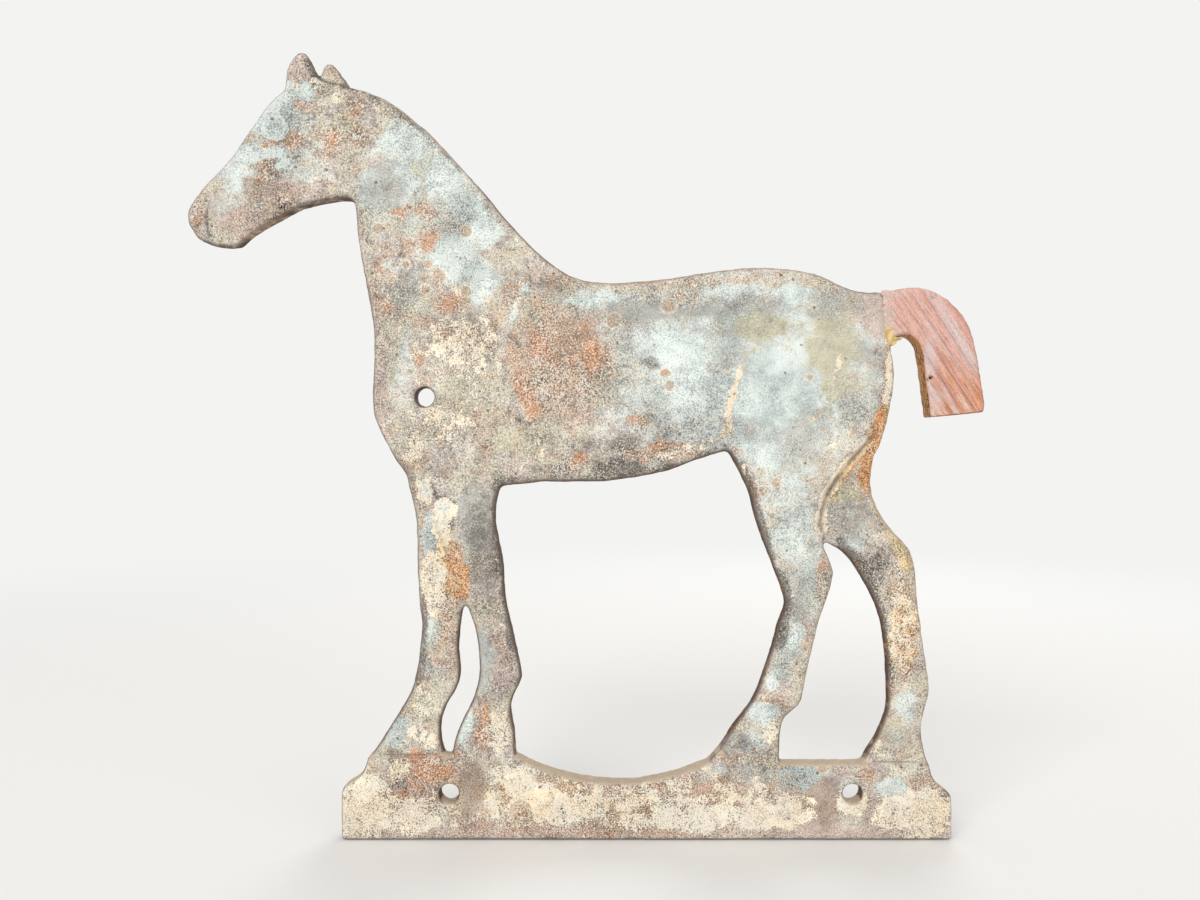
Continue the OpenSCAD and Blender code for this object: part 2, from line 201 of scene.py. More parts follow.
# Raised lines on both faces, or sunk ones where the height is negative
RIDGES = (
    Streak("flank fold", ((52.5, 256), (49, 243), (44.5, 232), (43.5, 221)), 2.2, 0.7),
    Streak("groin crease", ((44, 219), (39.5, 213.5), (36, 211)), 1.6, -0.7),
    Streak("shoulder blade", ((-56, 299), (-67, 289), (-71.5, 280), (-70.5, 271)), 2.0, 0.5),
    Streak("lip line", ((-232.5, 340), (-235, 332), (-234, 325), (-231, 319)), 1.3, -0.8),
    Streak("edge of the eye", ring(-198, 378.5, 5.6, 5.0), 1.2, 0.5),
    Streak("groove round the eye", ring(-198, 378.5, 8.0, 7.2), 1.3, -0.35),
    Streak("cheek bone", ((-176, 362), (-188, 352), (-204, 345)), 4.0, 0.5),
    Streak("foot of the near ear", ((-176, 396), (-170, 393), (-163, 395)), 2.0, -0.5),
    Streak("ledge below the far fore hoof", ((-152, 44.9), (-128, 45.1), (-104, 45.1)), 1.1, -0.8),
    Streak("ledge below the far hind hoof", ((117, 41.5), (136, 41.3), (151, 41)), 1.1, -0.8),
)

# Lines past which the front face is sunk
FOLDS = (
    Fold(
        "behind the near thigh",
        ((94.5, 158), (91, 167), (92, 175), (95, 184), (100, 192), (108, 203), (122, 218)), 1, 24, 1.8,
    ),
    Fold(
        "front of the near forearm",
        ((-97.5, 128), (-103, 145), (-108, 160), (-113, 177), (-118, 192)), -1, 18, 0.9,
    ),
)

# Places of the casting's finishes. The amounts are shares of full strength
RUST = (
    Streak("ledge below the far fore hoof", ((-119, 44.6), (-97, 44.8)), 1.6, 1.0),
    Patch("above the front hole", -113, 37, 14, 7, 1.2),
    Patch("left of the front hole", -124, 31, 6, 6, 0.75),
    Patch("front of the base", -134, 24, 5, 6, 0.45),
    Patch("lower front of the base", -130, 17, 5, 4, 0.45),
    Patch("right of the bare patch", -83, 27, 4, 9, 0.6),
    Patch("middle of the base", -4, 28, 7, 6, 0.55),
    Patch("below the rear window", 93, 39, 3, 2, 0.9),
    Patch("above the rear hole", 115, 35, 6, 5, 0.7),
    Patch("rear of the base", 148, 29, 8, 8, 0.75),
    Patch("foot of the base", 26, 5, 10, 3, 0.6),
    Patch("brow", -180, 389, 8, 5, 0.7),
    Patch("poll", -155, 391, 6, 8, 0.6),
    Patch("behind the cheek", -153, 374, 7, 7, 0.6),
    Patch("jowl", -167, 371, 8, 8, 0.85),
    Patch("behind the eye", -188, 371, 6, 8, 0.9),
    Patch("spot below the eye", -200, 370, 4, 2.5, 1.0),
    Patch("cheek bone", -202, 358, 5, 5, 0.8),
    Patch("side of the nose", -208, 348, 8, 8, 0.55),
    Patch("lower jaw", -194, 344, 9, 7, 0.5),
    Patch("chin", -214, 328, 15, 9, 0.4),
    Patch("tip of the nose", -238, 335, 4, 8, 0.7),
    Patch("far ear", -167, 410, 5, 5, 0.6),
    Patch("throat side of the neck", -132, 333, 8, 4, 0.8),
    Patch("middle of the neck", -116, 334, 8, 4, 0.7),
    Patch("front of the neck", -136, 317, 12, 8, 0.55),
    Patch("low front of the neck", -142, 296, 6, 16, 0.5),
    Patch("foot of the neck", -104, 285, 9, 6, 0.85),
    Patch("front of the shoulder", -114, 275, 4, 4, 0.8),
    Patch("breast", -122, 256, 4, 5, 0.9),
    Patch("base of the neck", -137, 282, 4, 4, 0.8),
    Patch("shoulder", -98, 264, 14, 12, 0.4),
    Patch("strip on the shoulder", -82, 271, 3, 12, 0.8),
    Patch("above the shoulder blade", -73, 291, 5, 8, 0.75),
    Patch("front of the barrel", -47, 252, 26, 29, 0.95),
    Patch("whole base", -20, 20, 120, 20, 0.75),
    Patch("barrel, top", -55, 284, 8, 8, 0.5),
    Patch("barrel, rear edge", -27, 258, 10, 12, 0.8),
    Patch("chest", -90, 226, 4, 4, 0.8),
    Patch("lower chest", -88, 216, 7, 8, 0.45),
    Patch("front spot on the barrel", -73, 226, 3, 3, 0.8),
    Patch("lower spot on the barrel", -42, 219, 3, 3, 0.9),
    Patch("belly", -37, 202, 6, 5, 0.7),
    Patch("smudge on the barrel", -4, 223, 7, 3, 0.8),
    Patch("edge of the belly", 10, 206, 28, 5, 0.7),
    Patch("top edge of the back", 10, 297, 90, 3, 0.5),
    Streak("edge of the rump", ((129, 262), (129, 244), (127, 228), (123, 214)), 3.5, 0.8),
    Streak("rear edge of the far thigh", ((123, 214), (119, 200), (118, 186)), 3.5, 0.7),
    Patch("knee of the far foreleg", -104, 116, 6, 34, 0.6),
    Patch("far forearm", -105, 148, 7, 13, 0.9),
    Patch("fork of the forelegs", -99, 134, 4, 9, 1.0),
    Patch("near fore pastern", -86, 62, 5, 14, 0.9),
    Patch("knee of the near foreleg", -76, 104, 5, 12, 0.4),
    Patch("front of the stifle", 54, 190, 4, 18, 0.5),
    Patch("spot on the thigh", 68, 190, 3, 3, 0.6),
    Patch("rear of the near hock", 93, 142, 4, 9, 0.7),
    Patch("rear of the near cannon", 85, 108, 3, 14, 0.6),
    Patch("near hind coronet", 46, 60, 4, 3, 0.7),
    Patch("rear of the far hock", 134, 146, 5, 12, 0.6),
    Patch("far hind cannon", 136, 110, 8, 28, 0.9),
    Patch("far hind fetlock", 129, 80, 4, 9, 0.7),
)
ORANGE_RUST = (
    Patch("above the front hole", -114, 38, 9, 5, 1.1),
    Patch("ledge below the far fore hoof", -118, 44, 12, 2.4, 0.8),
    Patch("jowl", -167, 371, 5, 5, 0.8),
    Patch("middle of the neck", -117, 317, 6, 6, 0.75),
    Patch("throat side of the neck", -133, 333, 6, 3, 0.6),
    Patch("breast", -122, 256, 3, 4, 0.7),
    Streak("barrel, lower front", ((-66, 244), (-64, 236), (-60, 228)), 4, 1.1),
    Patch("barrel, upper front", -58, 262, 5, 9, 0.8),
    Patch("barrel, rear edge", -29, 258, 6, 8, 0.8),
    Patch("belly", -37, 202, 4, 4, 0.6),
    Patch("far forearm", -103, 149, 4, 9, 0.8),
    Patch("fork of the forelegs", -100, 137, 5, 9, 1.3),
    Patch("near fore pastern", -86, 62, 3, 11, 0.9),
    Patch("upper spot on the flank", 10, 248, 2.2, 2.2, 1.0),
    Patch("below the rear window", 93, 39, 2.4, 1.6, 0.8),
    Patch("far hind cannon", 137, 112, 6, 24, 0.75),
    Patch("front end of the base", -136, 24, 10, 6, 0.6),
    Patch("front half of the base", -54, 26, 16, 6, 0.4),
    Patch("rear end of the base", 150, 26, 8, 6, 0.5),
    Streak("thigh crease", ((121, 212), (112, 202), (106, 194)), 3, 0.6),
    Streak("rear of the far thigh", ((127, 226), (122, 210), (118, 192)), 5, 1.1),
    Streak("far fore cannon", ((-105, 128), (-108, 112), (-112, 98)), 5, 0.35),
)
COOL_PAINT = (
    Patch("rear half of the body", 52, 246, 88, 56, 0.62),
    Patch("near hind leg", 76, 150, 22, 70, 0.5),
    Patch("upper neck", -118, 344, 40, 44, 0.5),
    Patch("head", -188, 372, 26, 22, 0.4),
    Patch("rear half of the base", 66, 30, 60, 10, 0.55),
    Patch("forehead", -194, 391, 8, 9, 1.6),
    Patch("brow", -188, 385, 13, 7, 0.8),
    Patch("below the near ear", -181, 398, 6, 5, 1.2),
    Patch("eye", -198, 378, 7, 7, 1.4),
    Streak("face", ((-214, 365), (-203, 365), (-194, 363)), 5, 1.4),
    Streak("edge of the forehead", ((-186, 402), (-196, 391), (-205, 380)), 5, 1.3),
    Patch("cheek", -190, 357, 5, 4, 1.1),
    Patch("bridge of the nose", -217, 353, 12, 9, 0.7),
    Patch("jaw", -176, 354, 12, 7, 0.5),
    Patch("muzzle", -225, 338, 8, 9, 0.5),
    Patch("foot of the neck", -116, 290, 14, 12, 0.4),
    Patch("front of the neck", -132, 313, 12, 16, 0.4),
    Patch("crest", -128, 372, 15, 11, 1.0),
    Patch("top of the neck", -104, 354, 11, 14, 1.0),
    Streak("edge of the crest", ((-118, 362), (-98, 340), (-84, 322)), 8, 0.9),
    Patch("side of the neck", -128, 352, 8, 12, 0.9),
    Patch("throat", -146, 346, 8, 14, 0.8),
    Patch("low side of the neck", -101, 311, 14, 15, 0.95),
    Patch("withers", -87, 300, 8, 12, 1.0),
    Patch("shoulder", -92, 292, 9, 7, 0.8),
    Patch("streak on the breast", -128, 262, 4, 12, 0.6),
    Patch("beside the chest hole", -131, 240, 7, 12, 0.4),
    Patch("back", -26, 287, 22, 5, 0.9),
    Patch("loin", 46, 294, 18, 6, 1.1),
    Patch("rear of the loin", 78, 290, 16, 6, 0.8),
    Patch("rear of the barrel", 14, 262, 26, 13, 0.95),
    Patch("flank", 24, 238, 24, 20, 0.9),
    Streak("shoulder blade", ((-71, 277), (-70, 284), (-67, 290), (-64, 294)), 2.0, 1.3),
    Patch("lower barrel", -5, 236, 14, 9, 0.7),
    Streak("behind the flank fold", ((55, 252), (51, 240), (48.5, 228), (49, 212)), 3.0, 1.2),
    Patch("haunch", 66, 240, 20, 24, 1.2),
    Patch("rear of the haunch", 86, 240, 14, 12, 1.0),
    Patch("stifle", 62, 208, 14, 12, 1.0),
    Patch("thigh", 76, 192, 18, 22, 0.6),
    Patch("near gaskin", 78, 164, 14, 18, 0.7),
    Patch("near hock", 84, 144, 9, 9, 0.6),
    Streak("near hind cannon", ((80, 114), (74, 98), (68, 84)), 6, 0.75),
    Patch("near hind pastern", 60, 68, 9, 6, 1.2),
    Patch("near hind hoof", 60, 54, 8, 7, 0.7),
    Patch("far fore, upper front", -115, 162, 4, 13, 0.9),
    Patch("far fore cannon", -115, 110, 4, 12, 0.9),
    Patch("far fore hoof", -132, 58, 10, 10, 0.9),
    Patch("near fore cannon", -87, 96, 6, 18, 0.7),
    Patch("near fore hoof", -97, 62, 4, 13, 1.0),
    Patch("far hind fetlock", 138, 72, 6, 10, 0.9),
    Patch("far hock", 110, 158, 7, 5, 0.7),
    Patch("base below the rear window", 80, 35, 13, 6, 1.2),
    Patch("base, middle rear", 52, 29, 14, 8, 0.7),
    Patch("base below the near hind hoof", 40, 33, 9, 7, 0.7),
    Patch("base behind the rear hole", 130, 28, 8, 7, 1.0),
    Patch("base, front half", -50, 24, 26, 10, 0.5),
)
GREY_PAINT = (
    Patch("band along the barrel", 14, 283, 34, 6, 1.1),
    Patch("front of the band", -24, 279, 16, 4, 0.7),
    Patch("top of the rump", 60, 285, 14, 6, 0.8),
    Patch("rump above the tail", 98, 288, 14, 8, 0.6),
    Patch("throat", -139, 348, 14, 15, 0.65),
    Patch("side of the neck", -128, 295, 8, 12, 0.9),
    Patch("muzzle", -224, 338, 8, 10, 0.3),
    Patch("near forearm", -91, 172, 9, 20, 1.2),
    Patch("near fore cannon", -87, 96, 6, 18, 0.8),
    Patch("far fore fetlock", -116, 90, 6, 9, 0.8),
    Patch("far gaskin", 110, 170, 15, 10, 1.2),
    Patch("near hock", 79, 124, 8, 10, 0.8),
    Patch("near hind cannon", 72, 94, 8, 16, 0.6),
    Patch("near hind hoof", 46, 52, 10, 5, 1.0),
    Patch("rear of the thigh", 108, 227, 10, 9, 0.7),
    Patch("thigh", 79, 213, 14, 10, 0.7),
    Patch("far hind hoof", 132, 54, 9, 7, 0.6),
    Patch("lower barrel", -8, 232, 12, 8, 0.5),
    Patch("belly", -12, 208, 10, 7, 0.8),
    Patch("left of the rear hole", 94, 17, 10, 14, 0.9),
    Patch("right of the rear hole", 122, 18, 6, 10, 0.7),
)
OLIVE_STAIN = (
    Patch("rump", 62, 273, 14, 8, 1.1),
    Patch("rear of the rump", 98, 262, 14, 18, 0.9),
    Patch("haunch", 102, 242, 10, 10, 0.9),
    Patch("yellow spot on the barrel", -45, 247, 6, 5, 0.6),
    Patch("rear of the rust", -18, 249, 4, 5, 0.7),
    Patch("lower chest", -96, 228, 16, 8, 0.6),
    Patch("chest", -70, 212, 20, 10, 0.6),
    Patch("foot of the shoulder", -100, 246, 18, 10, 0.4),
    Patch("cheek", -160, 380, 9, 9, 0.7),
    Patch("side of the neck", -118, 360, 8, 8, 0.5),
    Patch("far gaskin", 107, 178, 9, 14, 0.9),
    Patch("far fore pastern", -118, 72, 8, 10, 0.7),
    Patch("far hind hoof", 131, 56, 10, 9, 0.8),
    Patch("base, middle", -12, 15, 8, 6, 1.0),
    Patch("base, dip", 6, 26, 12, 8, 0.8),
    Patch("base below the rear window", 86, 24, 4, 6, 0.9),
    Patch("near fore hoof", -78, 60, 7, 14, 0.6),
)
# Chalky cream paint, and painted highlights on the flank fold, the thigh crease and the lit edge of the
# rump
CREAM_PAINT_AND_HIGHLIGHT = (
    Patch("between the ears", -171, 404, 6, 3.5, 1.1),
    Patch("near ear", -185, 405, 5, 8, 0.4),
    Patch("poll", -165, 396, 4, 3, 0.7),
    Patch("front end of the base", -150, 18, 15, 17, 2.2),
    Patch("front of the base", -128, 14, 18, 10, 1.1),
    Patch("front corner of the base", -151, 31, 8, 4, 0.9),
    Patch("foot of the base", -124, 9, 17, 6, 0.9),
    Patch("top of the base", -132, 38, 7, 7, 0.7),
    Patch("ring round the spot", -67, 14.5, 8, 8, 0.6),
    Patch("above the spot", -62, 27, 16, 6, 0.9),
    Patch("front half of the base", -70, 34, 14, 8, 0.7),
    Patch("base, below the dip", -46, 16, 24, 9, 0.75),
    Patch("base, middle", -8, 10, 14, 6, 0.8),
    Patch("base, rear of the middle", 24, 12, 24, 8, 1.0),
    Patch("base, rear half", 66, 13, 24, 8, 1.3),
    Patch("whole base", 0, 18, 160, 16, 0.5),
    Patch("round the rear hole", 109, 22, 9, 9, 0.9),
    Patch("base, rear quarter", 130, 14, 12, 7, 1.0),
    Patch("rear end of the base", 148, 14, 15, 12, 2.0),
    Patch("top of the flake", -119, 186, 5, 6, 1.2),
    Patch("flake on the far forearm", -106, 175, 7, 7, 1.3),
    Patch("foot of the flake", -108, 164, 5, 8, 0.9),
    Patch("far forearm", -113, 138, 8, 18, 0.9),
    Patch("far fore pastern", -118, 72, 8, 10, 0.5),
    Patch("far fore hoof", -120, 55, 10, 8, 0.6),
    Patch("front of the chest", -122, 208, 7, 8, 0.8),
    Patch("chest", -108, 222, 24, 16, 0.45),
    Patch("shoulder", -98, 262, 24, 20, 0.55),
    Streak("shoulder blade", ((-71, 277), (-70, 284), (-67, 290)), 1.6, 0.6),
    Patch("withers", -98, 293, 9, 7, 0.4),
    # Painted highlight on the raised flank fold and at its foot
    Streak("flank fold", ((50, 251), (47.5, 241), (44.5, 232), (43, 220)), 2.2, 0.7),
    Patch("foot of the flank", 41, 216, 4, 6, 0.5),
    # Painted highlight along the thigh crease
    Streak(
        "thigh crease",
        ((118, 211), (108, 201), (100, 191), (95, 182), (92.5, 174), (93, 165)), 3.2, 1.1,
    ),
    Patch("spot behind the thigh", 90, 226, 6, 6, 0.4),
    Patch("spot on the gaskin", 98, 213, 4, 4, 0.5),
    Patch("streak on the rump", 103, 250, 4, 12, 0.4),
    # Painted highlight on the lit edge of the rump
    Streak("edge of the rump", ((129, 258), (129, 244), (127, 230)), 2.6, 0.6),
    Streak("rear of the belly", ((2, 203), (18, 206), (33, 212)), 3.4, 0.4),
    Patch("front of the stifle", 52, 196, 3, 12, 0.7),
    Patch("far hind cannon", 136, 112, 8, 24, 0.7),
    Patch("rear of the far hock", 136, 142, 5, 14, 0.6),
    Patch("near fore hoof", -78, 58, 8, 14, 0.6),
    Patch("rear of the near hind hoof", 65, 58, 5, 8, 0.6),
    Patch("far hind heel", 121, 52, 4, 8, 0.7),
)
# Dark marks: real dirt, smudges and pits in places, and painted shade along the edges of the legs, ears,
# jaw, crest, belly and dip, round the eye, along the lip line and in the groin
GRIME_AND_SHADE = (
    Streak("rear of the near ear", ((-181, 414), (-177, 407), (-175, 402)), 1.8, 1.0),
    Streak("foot of the far ear", ((-170, 403), (-163, 401), (-157, 399)), 1.4, 0.8),
    Streak("lip line", ((-233.5, 336), (-234, 329), (-233, 322)), 1.1, 0.7),
    Streak("round the eye", ring(-198, 378.5, 7.8, 7.0), 1.3, 0.5),
    Streak("above the eye", ((-206, 385), (-195, 385), (-184, 383)), 2, 0.5),
    Streak("jaw", ((-160, 342), (-180, 338), (-196, 331), (-210, 321)), 2.2, 0.5),
    Streak("crest", ((-150, 397), (-132, 387), (-114, 372), (-98, 355)), 1.6, 0.6),
    Patch("front of the neck", -128, 296, 8, 10, 0.3),
    Patch("side of the neck", -117, 359, 6, 7, 0.3),
    Patch("dark pit on the shoulder", -68, 265, 1.8, 1.8, 1.2),
    Patch("dark pit on the barrel", -54, 229, 1.6, 1.6, 1.4),
    Patch("dark pit above it", -46, 249, 2, 1.4, 0.8),
    Patch("belly", -15, 198, 16, 6, 1.0),
    Patch("lower barrel", -12, 209, 9, 7, 0.55),
    Patch("front of the belly", -50, 197, 14, 4, 0.55),
    Patch("smudge on the barrel", 3, 253, 7, 4, 0.8),
    Patch("smudge in front of it", -12, 247, 6, 5, 0.4),
    Patch("rump", 63, 273, 13, 7, 0.35),
    Patch("top of the flank", 30, 262, 4, 2, 0.5),
    Patch("rear of the thigh", 106, 224, 9, 10, 0.25),
    Patch("near forearm", -86, 156, 11, 34, 0.62),
    Streak(
        "behind the near knee",
        ((-78, 190), (-79, 172), (-76, 155), (-74, 140), (-73, 124), (-70, 104)), 3.5, 1.1,
    ),
    Streak("front of the far knee", ((-119, 128), (-119, 112), (-119, 98), (-122, 84)), 2.6, 0.8),
    Patch("front of the far fetlock", -117, 90, 4, 8, 0.4),
    Patch("bare spot in the flake", -103, 167, 2.6, 2, 1.1),
    Streak("edge of the flake", ((-126, 192), (-115, 190), (-111, 182), (-101, 180)), 1.2, 0.8),
    Streak("front of the stifle", ((51, 200), (56, 184), (61, 168), (67, 150)), 2.2, 0.9),
    Streak("front of the near hock", ((70, 140), (72, 130), (72, 120), (70, 106)), 4.5, 1.1),
    Patch("near hind cannon", 80, 122, 8, 12, 0.35),
    Patch("far gaskin", 110, 172, 14, 12, 0.35),
    Streak(
        "front of the far hock",
        ((104, 158), (113, 147), (120, 134), (125, 118), (127, 100), (129, 84)), 3.2, 0.85,
    ),
    Patch("far hock", 122, 146, 9, 12, 0.6),
    Streak("under the belly", ((-75, 192), (-40, 192), (-10, 194), (20, 200), (36, 207)), 2.4, 0.6),
    Patch("near hind hoof", 46, 52, 9, 4, 0.35),
    Streak("groin", ((42, 209), (46, 203), (49, 197)), 2, 0.6),
    Streak("edge of the dip", ((-66, 47), (-48, 39), (-28, 34), (0, 34), (24, 39), (36, 45)), 1.4, 0.5),
    Patch("left of the front hole", -118, 26, 4, 6, 0.35),
    Patch("round the rear hole", 102, 20, 17, 15, 0.32),
)
PRIMER = (
    Patch("dock", 121, 281, 6, 14, 0.9),
    Patch("near ear", -185, 411, 8, 10, 0.9),
    Patch("muzzle", -228, 335, 9, 12, 0.5),
    Patch("chin", -216, 327, 15, 9, 0.6),
    Patch("lower jaw", -186, 344, 20, 7, 0.6),
    Patch("front shoulder of the base", -141, 37, 5, 6, 0.8),
    Patch("left of the front hole", -119, 26, 4.5, 7, 1.1),
    Patch("lower left of the front hole", -116, 16, 5, 3, 0.9),
    Patch("foot of the bare patch", -88, 8, 10, 4, 0.9),
    Streak("foot of the base", ((-155, 4), (-100, 4.5), (-40, 5), (20, 4.5), (90, 4), (156, 4)), 2.6, 0.9),
    Patch("base, front half", -36, 9, 12, 5, 0.7),
    Patch("base, middle", 31, 26, 7, 5, 0.6),
    Patch("left of the rear hole", 96, 20, 7, 14, 1.0),
    Patch("above the rear hole", 102, 36, 6, 4, 1.1),
    Patch("below the rear hole", 92, 7, 14, 4, 1.1),
    Patch("right of the rear hole", 121, 16, 7, 10, 0.9),
    Patch("rear end of the base", 158, 18, 2.5, 15, 1.1),
    Patch("front of the breast", -141, 244, 4, 40, 0.7),
    Patch("rear of the rust", -35, 228, 8, 6, 0.9),
    Patch("barrel, middle", -45, 258, 12, 10, 0.5),
    Patch("front of the belly", -52, 198, 14, 5, 0.6),
    Patch("near forearm", -85, 147, 6, 14, 0.6),
    Patch("near fore fetlock", -77, 92, 7, 12, 0.7),
    Patch("near hind pastern", 73, 80, 7, 9, 0.5),
    Patch("far fore hoof", -124, 54, 6, 6, 0.4),
    Patch("far hock", 124, 146, 9, 11, 0.5),
)
# Stretches with small round blisters
BLISTERS = (
    Patch("head", -190, 365, 32, 30, 0.7),
    Patch("neck", -112, 302, 26, 34, 1.0),
    Patch("shoulder", -90, 250, 40, 40, 0.8),
    Patch("base", -60, 20, 60, 16, 0.5),
)
# Paint worn down to the metal
BARE_IRON = (
    Patch("right of the front hole", -93, 26, 7, 13, 1.4),
    Patch("foot of the bare patch", -95, 12, 4, 6, 1.0),
    Patch("left of the rear hole", 95, 15, 9, 13, 0.65),
)
# Stretches where the grain is quieter
SMOOTH_PAINT = (
    Patch("rump", 82, 262, 46, 30, 1.0),
    Patch("haunch", 74, 228, 26, 20, 0.8),
    Patch("thigh", 80, 198, 22, 24, 0.4),
    Patch("rear of the barrel", 22, 262, 22, 12, 0.5),
    Patch("band along the barrel", 14, 280, 42, 5, 1.0),
    Patch("throat", -140, 350, 13, 16, 0.7),
    Patch("muzzle", -226, 336, 9, 11, 0.7),
    Patch("bridge of the nose", -217, 352, 10, 9, 0.6),
    Patch("right of the front hole", -93, 25, 8, 14, 1.1),
    Patch("left of the rear hole", 96, 22, 6, 12, 1.0),
    Patch("below the rear hole", 92, 7, 14, 4, 0.8),
    Patch("far gaskin", 109, 174, 12, 14, 0.9),
    Patch("near forearm", -90, 168, 10, 26, 0.9),
    Patch("near fore cannon", -87, 96, 6, 18, 0.7),
    Patch("near hind hoof", 46, 52, 10, 5, 0.8),
    Patch("far hind hoof", 132, 56, 9, 9, 0.7),
    Patch("dock", 118, 280, 10, 14, 0.6),
)
# Whitest paint
BLOOM = (
    Streak("forehead", ((-201, 386), (-192, 395)), 3.6, 1.1),
    Patch("eye", -198, 378, 4.0, 3.6, 0.5),
    Streak("rim of the eye", ring(-198, 378.5, 6.6, 6.0), 1.1, 1.2),
    Patch("below the near ear", -181, 398, 4.5, 4.5, 0.8),
    Patch("brow", -181, 379, 5, 5, 0.6),
    Streak("face", ((-209, 363), (-196, 365)), 3.2, 1.1),
    Patch("cheek", -192, 358, 4.5, 4, 1.0),
    Patch("bridge of the nose", -220, 348, 9, 9, 0.55),
    Patch("between the ears", -172, 405, 4, 2.5, 1.0),
    Patch("crest", -118, 366, 12, 8, 0.5),
    Patch("low side of the neck", -104, 312, 9, 10, 0.6),
    Patch("withers", -88, 303, 7, 8, 0.5),
    Patch("loin", 46, 293, 12, 5, 0.6),
    Patch("rear of the barrel", 22, 252, 12, 10, 0.45),
    Patch("haunch", 62, 236, 12, 12, 0.45),
    Patch("near hind pastern", 58, 68, 6, 4, 0.9),
    Patch("top of the flake", -119, 186, 4, 4, 0.9),
    Patch("flake on the far forearm", -107, 176, 5, 5, 0.9),
)
# Stretches of the edge that are golden and not brown: a painted highlight where the edge faces the light
LIT_EDGE_LIPS = (
    Streak("rear of the near hind leg", ((95, 158), (98, 142), (91, 118), (83, 84)), 5, 0.9),
    Streak("rear of the far hock", ((118, 190), (127, 168), (141, 148)), 5, 0.9),
    Streak("rear of the far cannon", ((141, 148), (148, 94), (149, 84), (145, 63)), 5, 0.9),
    Streak("rump", ((130, 256), (130, 240), (126, 220), (118, 190)), 5, 0.8),
    Streak("crest", ((-150, 400), (-128, 386), (-108, 368), (-84, 332), (-66, 308)), 4, 0.7),
    Streak("back", ((-40, 298), (0, 298), (40, 304), (80, 304), (104, 296)), 4, 0.5),
)
# Golden stain over the paint
OCHRE = (
    Streak("rear of the far thigh", ((127, 226), (122, 210), (118, 192)), 6, 0.9),
    Streak("thigh crease", ((116, 206), (106, 196), (99, 184)), 4, 0.6),
    Streak("rear of the far hock", ((122, 184), (133, 160), (139, 146)), 5, 0.7),
    Patch("far hind cannon", 136, 112, 9, 30, 0.5),
    Patch("fork of the forelegs", -101, 138, 6, 12, 0.9),
    Patch("far forearm", -106, 152, 7, 14, 0.6),
    Patch("far fore cannon", -112, 106, 6, 22, 0.35),
    Patch("front half of the base", -60, 22, 60, 14, 0.35),
)
# Round spots of rust, each in a pale ring
SPOTS = (
    Patch("base", -67, 14.5, 6.0, 5.8, 1.4),
    Patch("front half of the base", -22, 25, 4, 3, 0.8),
    Patch("dip of the base", 4, 33, 4, 2, 0.9),
    Patch("base below the rear window", 93, 38, 3, 2, 0.8),
    Patch("throat", -143, 325, 2.8, 2.8, 0.9),
    Patch("top of the neck", -96, 323, 3.2, 3.2, 0.9),
    Patch("middle of the neck", -110, 300, 3.4, 3.4, 1.0),
    Patch("foot of the neck", -96, 292, 3, 3, 1.0),
    Patch("front of the neck", -116, 306, 2.6, 2.6, 0.9),
    Patch("barrel", -17, 276, 3.8, 3.8, 0.9),
    Patch("back", 12, 284, 4.5, 4, 0.7),
    Patch("rear of the back", 18, 289, 3, 3, 0.7),
    Patch("flank", 10, 248, 2.6, 2.6, 1.0),
    Patch("lower flank", 12, 241, 2.6, 2.6, 1.0),
    Patch("thigh", 68, 190, 2.6, 2.6, 0.7),
    Patch("haunch", 86, 246, 2.4, 2.4, 0.6),
    Patch("shoulder", -73, 226, 2.6, 2.6, 0.8),
    Patch("lower barrel", -42, 219, 2.8, 2.8, 0.8),
    Patch("chest", -90, 226, 3, 3, 0.8),
)
# Pale dust on the tail's front
TAIL_DUST = (
    Patch("beside the worm hole", 149, 254, 4.5, 13, 0.9),
    Patch("inner side of the tail's foot", 153, 233, 7, 8, 0.6),
    Patch("top of the tail by the seam", 131, 281, 9, 9, 0.5),
)
# Name under which the mesh keeps each finish
FINISH_MASKS = {
    "rust": RUST,
    "orange_rust": ORANGE_RUST,
    "cool_paint": COOL_PAINT,
    "grey_paint": GREY_PAINT,
    "olive_stain": OLIVE_STAIN,
    "cream_paint": CREAM_PAINT_AND_HIGHLIGHT,
    "grime": GRIME_AND_SHADE,
    "primer": PRIMER,
    "bare_iron": BARE_IRON,
    "blister": BLISTERS,
    "smooth_paint": SMOOTH_PAINT,
    "bloom": BLOOM,
    "lip": LIT_EDGE_LIPS,
    "ochre": OCHRE,
}
# Offset of the noise that breaks up each of these finishes
BROKEN_SHIFTS = {
    "rust": 2.11,
    "orange_rust": 4.19,
    "cool_paint": 0.31,
    "grey_paint": 1.03,
    "olive_stain": 1.71,
    "cream_paint": 0.73,
    "primer": 1.37,
    "bare_iron": 2.93,
    "grime": 3.57,
    "bloom": 5.23,
    "ochre": 6.07,
}
# How much each finish adds to the pale crystals, which are also painted glints, and to the cover of chalky
# flakes
MORE_CRYSTAL_GLINTS = {
    "rust": 0.05,
    "cream_paint": 0.05,
    "cool_paint": -0.02,
    "primer": -0.02,
}
FLAKE_COVER = {
    "cream_paint": 1.06,
    "rust": 0.1,
    "orange_rust": -0.3,
    "bare_iron": -0.9,
    "primer": -0.4,
    "grime": -0.2,
}


class Blob(NamedTuple):
    """A drop of glue: its middle from the middle of the bead, and its half sizes, in millimetres."""

    where: str
    middle: tuple
    radii: tuple


